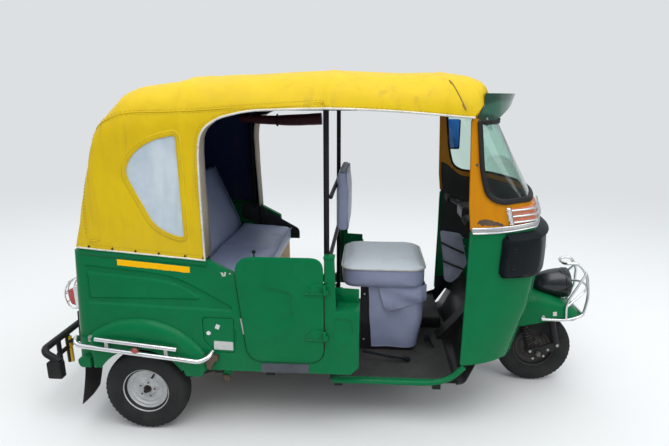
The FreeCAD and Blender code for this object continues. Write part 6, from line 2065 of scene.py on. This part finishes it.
# %% Passenger bench
BENCH_SEAM_Y = 505
seat_line = round_corners([(209, 645), (539, 645), (541, 742), (209, 764)], [10, 22, 36, 30])
bench = slab("bench_seat", seat_line, -512, 512, bevel=18, segments=4)
bench = stuffed("bench_seat", bench, 11.0, 11.0,
                lambda x, y, z: z < 652 or (abs(abs(y) - BENCH_SEAM_Y) < 8 and z > 700) or abs(y) < 6)
dress(bench, BENCH_VINYL, replaces=["bench_cushion"])
rest_line = round_corners([(66, 648), (196, 648), (198, 775), (44, 1136), (0, 1136)], [8, 8, 40, 24, 18])
rest = slab("bench_rest", rest_line, -512, 512, bevel=16, segments=4)
rest = stuffed("bench_rest", rest, 11.0, 10.0, lambda x, y, z: abs(abs(y) - BENCH_SEAM_Y) < 8 or z > 1128)
dress(rest, BENCH_VINYL, replaces=["bench_backrest"])
for side, word in SIDES:
    y = side * (BENCH_SEAM_Y + 3)
    edge = rounded([at(204, y, 700), at(200, y, 780), at(46, y, 1140)], 60)
    dress(sweep(f"bench_rest_seam_{word}", edge, 3.0, 8), BENCH_VINYL)
welt = rounded([at(545, -500, 736), at(545, 500, 736)], 10)
dress(sweep("bench_front_seam", welt, 2.6, 8), BENCH_VINYL)

# %% [markdown]
# A loose cover hangs from the driver's seat and hides the box below it. On the near side its corner
# is folded back over itself. The cover is a sheet that follows the box round three sides: folds
# fan out below the seat and the front draws in at the hem. Simulating it would need the folded
# corner pinned by hand, so its folds are a displacement in code.

# %% Hanging seat cover
SKIRT_TOP, SKIRT_HEM = 612, 262


def skirt_point(share, z):
    """A place on the cover: share runs from the near rear edge round the front to the far one."""
    drop = (SKIRT_TOP - z) / (SKIRT_TOP - SKIRT_HEM)
    x0 = 1060 + 24 * drop
    x1 = 1362 - 30 * drop ** 2
    half = 206 - 8 * drop
    corners = rounded([at(x0, -half, z), at(x1, -half, z), at(x1, half, z), at(x0, half, z)], 52, 10)
    lengths = [(b - a).length for a, b in zip(corners, corners[1:])]
    way = share * sum(lengths)
    for a, b, length in zip(corners, corners[1:], lengths):
        if way <= length:
            break
        way -= length
    place = a.lerp(b, min(1.0, way / length))
    inward = (at((x0 + x1) / 2, 0, z) - place).normalized()
    fold = 4.2 * math.sin(share * 31 + 1.6 * drop) * (0.2 + drop) + 5.0 * noise.noise(
        Vector((share * 7, z / 120, 2.0))) + 3.2 * math.sin(share * 15 - z / 40) * math.exp(-drop * 1.2)
    return place - inward * (fold * MM)


rows = [[skirt_point(k / 110, z) for k in range(111)] for z in np.linspace(SKIRT_HEM, SKIRT_TOP, 42)]
skirt = grid("seat_cover", rows, angle=80)


def corner_point(u, v):
    """A place on the corner that is folded back: u runs forward, v up to the seat."""
    out = -214 - 8 * math.sin(3.1 * v) - 4 * math.sin(7 * u + 6 * v) + 26 * smoothstep(u, 0.86, 1.0)
    return at(1108 + 258 * u + (1 - v) * 46 * (1 - u), out, 624 - (150 - 62 * u) * (1 - v))


over = grid("cover_corner", [[corner_point(k / 25, v) for v in np.linspace(0, 1, 14)] for k in range(26)],
            angle=80)
skirt = join("seat_cover", [thickened(skirt, 2.2), thickened(over, 2.2)], SEAT_SIDE)
dress(smooth(skirt, 60), slot="seat_vinyl", replaces=["driver_skirt"])
hem_route = [skirt_point(k / 60, SKIRT_HEM + 3) for k in range(61)]
dress(sweep("seat_cover_hem", hem_route, 2.4, 6), SEAT_SIDE)
heads("base_screws", [at(1040, -190.5, 297), at(1040, -190.5, 560)], (0, -1, 0), 6.5, 3, STEEL)

# %% [markdown]
# The cab floor is a flat plate that turns up under the front shell. It is drawn as one side profile
# given its width; the turned-up part is a grid whose width follows the shell. On the far side a
# black plate closes the gap between floor and shell, and a raised platform carries a second mat.

# %% Cab floor, sills, mats and the far platform
flat_floor = [(521, 322), (879, 322), (879, 227), (1496, 227), (1496, 235), (888, 235), (888, 330),
              (521, 330)]
dress(slab("cab_floor", flat_floor, -484, 484), BLACK, replaces=["floor_pan"])
turn_up = rounded([at(1490, 0, 231), at(1530, 0, 236), at(1580, 0, 340), at(1660, 0, 500)], 50)
rows = []
for p in turn_up:
    x, _, z = workshop(p)
    line, _ = front_level(max(z, 340.0))
    half = -float(np.interp(-x, -line[:, 0], line[:, 1])) - 12
    rows.append([at(x, y, z) for y in np.linspace(-half, half, 9)])
dress(thickened(grid("toe_panel", rows), 5), BLACK)
sill_route = rounded([at(890, -500, 231), at(1372, -500, 234), at(1462, -502, 262), at(1520, -506, 330)], 90)
both(sweep("sill_tube", sill_route, 14, 14), GREEN, replaces=["sill_tubes"])
both(slab("sill_top", [(890, -488), (1440, -488), (1440, -470), (890, -470)], 236, 240, plane="top", bevel=1),
     GREEN)
floor_mat = round_corners([(892, -470), (1482, -470), (1482, 470), (892, 470)], 40)
dress(slab("ribbed_mat", floor_mat, 235.5, 239, plane="top", bevel=1), RIBBED)
platform = [(1150, 237), (1494, 237), (1494, 300), (1150, 300)]
dress(slab("far_platform", platform, 96, 486, bevel=6), BLACK)
well_side = [(1400, 238), (1500, 238), (1606, 400), (1606, 430), (1500, 430), (1500, 336), (1400, 300)]
dress(slab("foot_well_side", well_side, 478, 482, bevel=1), BLACK)
far_mat = round_corners([(1156, 104), (1488, 104), (1488, 480), (1156, 480)], 10)
dress(slab("far_platform_mat", far_mat, 300, 303, plane="top", bevel=1), RIBBED)
cabin_mat = round_corners([(560, -545), (872, -545), (872, 545), (560, 545)], 12)
dress(slab("cabin_mat", cabin_mat, 330.3, 333, plane="top", bevel=1), RIBBED)
print("cab floor laid")

# %% Lever, pedal and pouch
lever_line = rounded([at(1035, -330, 302), at(1150, -330, 280), at(1262, -326, 262)], 30)
dress(sweep("brake_lever", lever_line, 6.5, 10), PLASTIC)
lever_end = [at(1240, -327, 266), at(1272, -325, 260), at(1282, -325, 259)]
dress(sweep("lever_grip", lever_end, [9, 12, 8], 12), PLASTIC)
dress(rod("pedal_arm", at(1424, -150, 242), at(1392, -150, 292), 6), BLACK)
pad_line = round_corners([(1374, 286), (1402, 302), (1396, 312), (1368, 296)], 2)
dress(slab("pedal_pad", pad_line, -182, -118, bevel=2), PLASTIC)
pouch_line = round_corners([(1430, 900), (1540, 884), (1582, 720), (1540, 640), (1500, 606), (1466, 622),
                            (1452, 760)], 18)


def pouch_relief(x, z):
    """The pouch is full in its middle and a little uneven."""
    full = 14 * min(1, distance_to(x, z, pouch_line + pouch_line[:1]) / 45)
    return full + 4 * noise.noise(Vector((x, z, 0)) * 0.02)


pouch = pressed("hanging_pouch", pouch_line, -118, pouch_relief, -22, 12, bevel=4)
dress(pouch, POUCH)
for k, (a, b) in enumerate((((1436, 838), (1560, 780)), ((1448, 738), (1566, 690)))):
    strap = [at(a[0], -134, a[1]), at((a[0] + b[0]) / 2, -141, (a[1] + b[1]) / 2), at(b[0], -134, b[1])]
    dress(sweep(f"pouch_strap_{k}", rounded(strap, 40), 6, 8, flat=0.35), RUBBER)

# %% Rolled curtain, liner and edge strips in the passenger cabin
ROLL_Y = 496


def roll_z(x):
    """The rolled curtain hangs a little between its ends."""
    return 1446 - 10 * math.sin((x - 232) / 521 * 3.1)


roll_route = [at(x, ROLL_Y, roll_z(x)) for x in range(232, 754, 20)]
widths = [23 + 0.6 * k + 3 * noise.noise(Vector((k * 0.37, 0.5, 0))) for k in range(len(roll_route))]
roll = sweep("rolled_curtain", roll_route, widths, 22)
dress(roll, MAROON)
loop = [at(470, ROLL_Y + 36 * math.cos(t), roll_z(470) + 36 * math.sin(t)) for t in np.linspace(0, 6.0, 24)]
dress(sweep("curtain_strap_470", loop, 5, 8, flat=0.5), RUBBER)
for side, word in SIDES:
    edge = [(x + 1, z) for x, z in DOOR_EDGE if z < 1475]
    outer_run = on_hood(edge, side, -3.0)
    rows = [[p + Vector((-(2 + 12 * k / len(outer_run)) * MM * s, -side * 0.1 * s, 0))
             for k, p in enumerate(outer_run)] for s in (0, 0.35, 0.7, 1.0)]
    dress(thickened(grid(f"opening_liner_{word}", rows), 1.5), LINER_STRIP)
lining = round_corners([(200, 645), (590, 645), (590, 712), (350, 846), (336, 882), (200, 885)],
                       [4, 4, 26, 20, 10, 4])
both(slab("cabin_lining", lining, -571, -567, bevel=1), DARK_LINING)
strip = [at(BELT_END_X - 12, -572, 560), at(BELT_END_X - 24, -560, 1150), at(BELT_END_X - 22, -548, 1420)]
both(sweep("curtain_rail", rounded(strip, 80), 6, 8), BLACK)

# %% [markdown]
# Beside the rear wheels run bent chrome tubes, and behind sit wire lamp guards, moulded mudflaps and
# brackets. Tubes are swept along rounded routes; the straight tube above each wheel carries a row of
# small rings.

# %% Side guards
GUARD_Y = 668
for side, word in SIDES:
    y = side * GUARD_Y
    tube = rounded([at(-322, side * 600, 468), at(-288, y, 462), at(296, y, 399), at(332, side * 640, 412),
                    at(340, side * 612, 424)], 42)
    dress(sweep(f"guard_tube_{word}", tube, 11.5, 14), CHROME,
          replaces=["side_guards"] if side < 0 else ())
    rub_line = [at(-190, y, 497), at(192, y, 458)]
    rub = sweep(f"rub_tube_{word}", rub_line, 10.5, 14)
    rings = [turned("ring", capped([(-1.6, 10.0), (0, 12.3), (1.6, 10.0)]), rub_line[0].lerp(rub_line[1], s),
                    (1, 0, -0.102), 14) for s in np.linspace(0.20, 0.80, 26)]
    dress(join(f"rub_tube_{word}", [rub, *rings], CHROME), slot="chrome")
    for k, (x, low, high) in enumerate(((-140, 448, 490), (139, 418, 462))):
        post_line = round_corners([(x - 9, low - 6), (x + 9, low - 8), (x + 9, high), (x - 9, high + 2)], 3)
        post = slab(f"guard_post_{word}_{k}", post_line, y - side * 4 - 5, y - side * 4 + 5, bevel=1.5)
        dress(post, STEEL)
    centre, out = at(-4, y, 446), (0, side, 0)
    disc = turned(f"guard_reflector_{word}", capped([(-4, 19), (6, 19), (8, 15.5)]), centre, out, 28)
    dress(disc, RUSTY)
    dress(turned(f"reflector_lens_{word}", capped([(6, 15), (10, 12), (11.5, 5)]), centre, out, 28), RED)
bracket = round_corners([(307, 411), (316, 350), (334, 338), (350, 380), (372, 392), (370, 412),
                         (338, 416)], 6)
both(slab("guard_bracket", bracket, -637, -612, bevel=2), RUSTY, "black_paint")
rear_bracket = round_corners([(-246, 462), (-226, 462), (-226, 496), (-246, 490)], 3)
both(slab("guard_rear_bracket", rear_bracket, -632, -608, bevel=1.5), STEEL)

# %% Tail lamps with their wire guards
def rear_wall_x(z):
    """The rear wall leans: where it stands at a height."""
    return -345 + 59 * (z - 330) / 570


LENS_LINE = round_corners([(rear_wall_x(588) + 4, 588), (-382, 594), (-394, 632), (-388, 672),
                           (rear_wall_x(676) + 4, 678)], [4, 14, 20, 14, 4])
FRAME_LINE = round_corners([(rear_wall_x(580) + 3, 580), (-358, 580), (-362, 690),
                            (rear_wall_x(690) + 3, 690)], 4)
for side, word in SIDES:
    lens = side_slab(f"tail_lens_{word}", LENS_LINE, side, 428, 512, bevel=5, segments=3)
    dress(lens, RED, replaces=["tail_lamps"] if side < 0 else ())
    dress(side_slab(f"tail_frame_{word}", FRAME_LINE, side, 423, 517, bevel=2), CHROME)
    for k, (y, out) in enumerate(((434, 0), (470, 10), (506, 4))):
        places = ((rear_wall_x(572), 572), (-392 - out, 574), (-414 - out, 634), (-398 - out, 690),
                  (rear_wall_x(764), 766))
        wire = rounded([at(x, side * y, z) for x, z in places], 26)
        dress(sweep(f"lamp_wire_{word}_{k}", wire, 3.4, 8), CHROME)
    for k, (x, z) in enumerate(((-414, 600), (-418, 650), (-396, 704))):
        places = ((x + 18, 430), (x, 440), (x, 500), (x + 18, 510))
        hoop = rounded([at(along, side * y, z) for along, y in places], 10)
        dress(sweep(f"lamp_hoop_{word}_{k}", hoop, 3.0, 8), CHROME)

# %% Mudflaps, lobes beside the arches, bumper tapes and plate arms
REAR_LOBE = round_corners([(-244, 334), (-292, 334), (-304, 356), (-300, 380), (-244, 380)],
                          [2, 12, 14, 10, 2])
FRONT_LOBE = round_corners([(206, 334), (214, 306), (290, 306), (304, 334)], [2, 12, 16, 2])
TAPE = [(-564, 180), (-532, 180), (-532, 330), (-564, 330)]
ARM = round_corners([(-386, 376), (-356, 372), (-338, 470), (-352, 548), (-378, 548)], 6)
for side, word in SIDES:
    flap_rows = []
    for s in np.linspace(0, 1, 16):
        z = 322 - 216 * s
        x = -292 - 44 * s ** 1.3
        row = []
        for t in np.linspace(0, 1, 61):
            y = 440 + 166 * t - 4 * s
            rib = 2.6 * abs(math.sin(t * math.pi * 15))
            row.append(at(x - rib + 10 * s * math.sin(t * 3.1), side * y, z + 8 * s * (1 - t)))
        flap_rows.append(row)
    mudflap = thickened(grid(f"mudflap_{word}", flap_rows, angle=25), 3.5)
    dress(mudflap, RUBBER, replaces=["mudflaps"] if side < 0 else ())
    heads(f"flap_bolts_{word}", [at(-296, side * y, 312) for y in (470, 580)], (-1, 0, 0), 6, 4, STEEL)
    dress(side_slab(f"rear_lobe_{word}", REAR_LOBE, side, 590, 642, bevel=6), GREEN)
    dress(side_slab(f"front_lobe_{word}", FRONT_LOBE, side, 598, 640, bevel=5), GREEN)
    dress(side_slab(f"bumper_tape_{word}", TAPE, side, 322, 338, bevel=1.5), YELLOW_TAPE)
    dress(side_slab(f"plate_arm_{word}", ARM, side, 476, 484, bevel=1.5), BLACK)
    heads(f"arm_bolt_{word}", [at(-362, side * 484, 536)], (0, side, 0), 6, 4, STEEL)

# %% Springs and brackets below
for side, word in SIDES:
    coil(f"rear_spring_{word}", at(58, side * 462, 250), at(42, side * 462, 520), 40, 6, 7, BLACK)
under_line = round_corners([(330, 329), (405, 329), (398, 250), (372, 222), (346, 240)], 10)
both(slab("under_bracket", under_line, -508, -502, bevel=1.5), GREEN)
both(turned("under_disc", capped([(-6, 20), (5, 20), (8, 15)]), at(366, -508, 226), (0, -1, 0), 26), RUSTY,
     "black_paint")
print("rear dressed")

# %% [markdown]
# The CAD nodes that still show get the finish of their record slot.

# %% Finish the nodes that stay
shown = []
for part in frame["record"]["subparts"]:
    node = frame["nodes"].get(part["node"])
    if node is None or node.hide_render:
        continue
    node.data.materials.clear()
    node.data.materials.append(SLOTS[part["material_slot"]][0])
    shown.append(part["node"])
print("CAD nodes still shown:", ", ".join(shown))
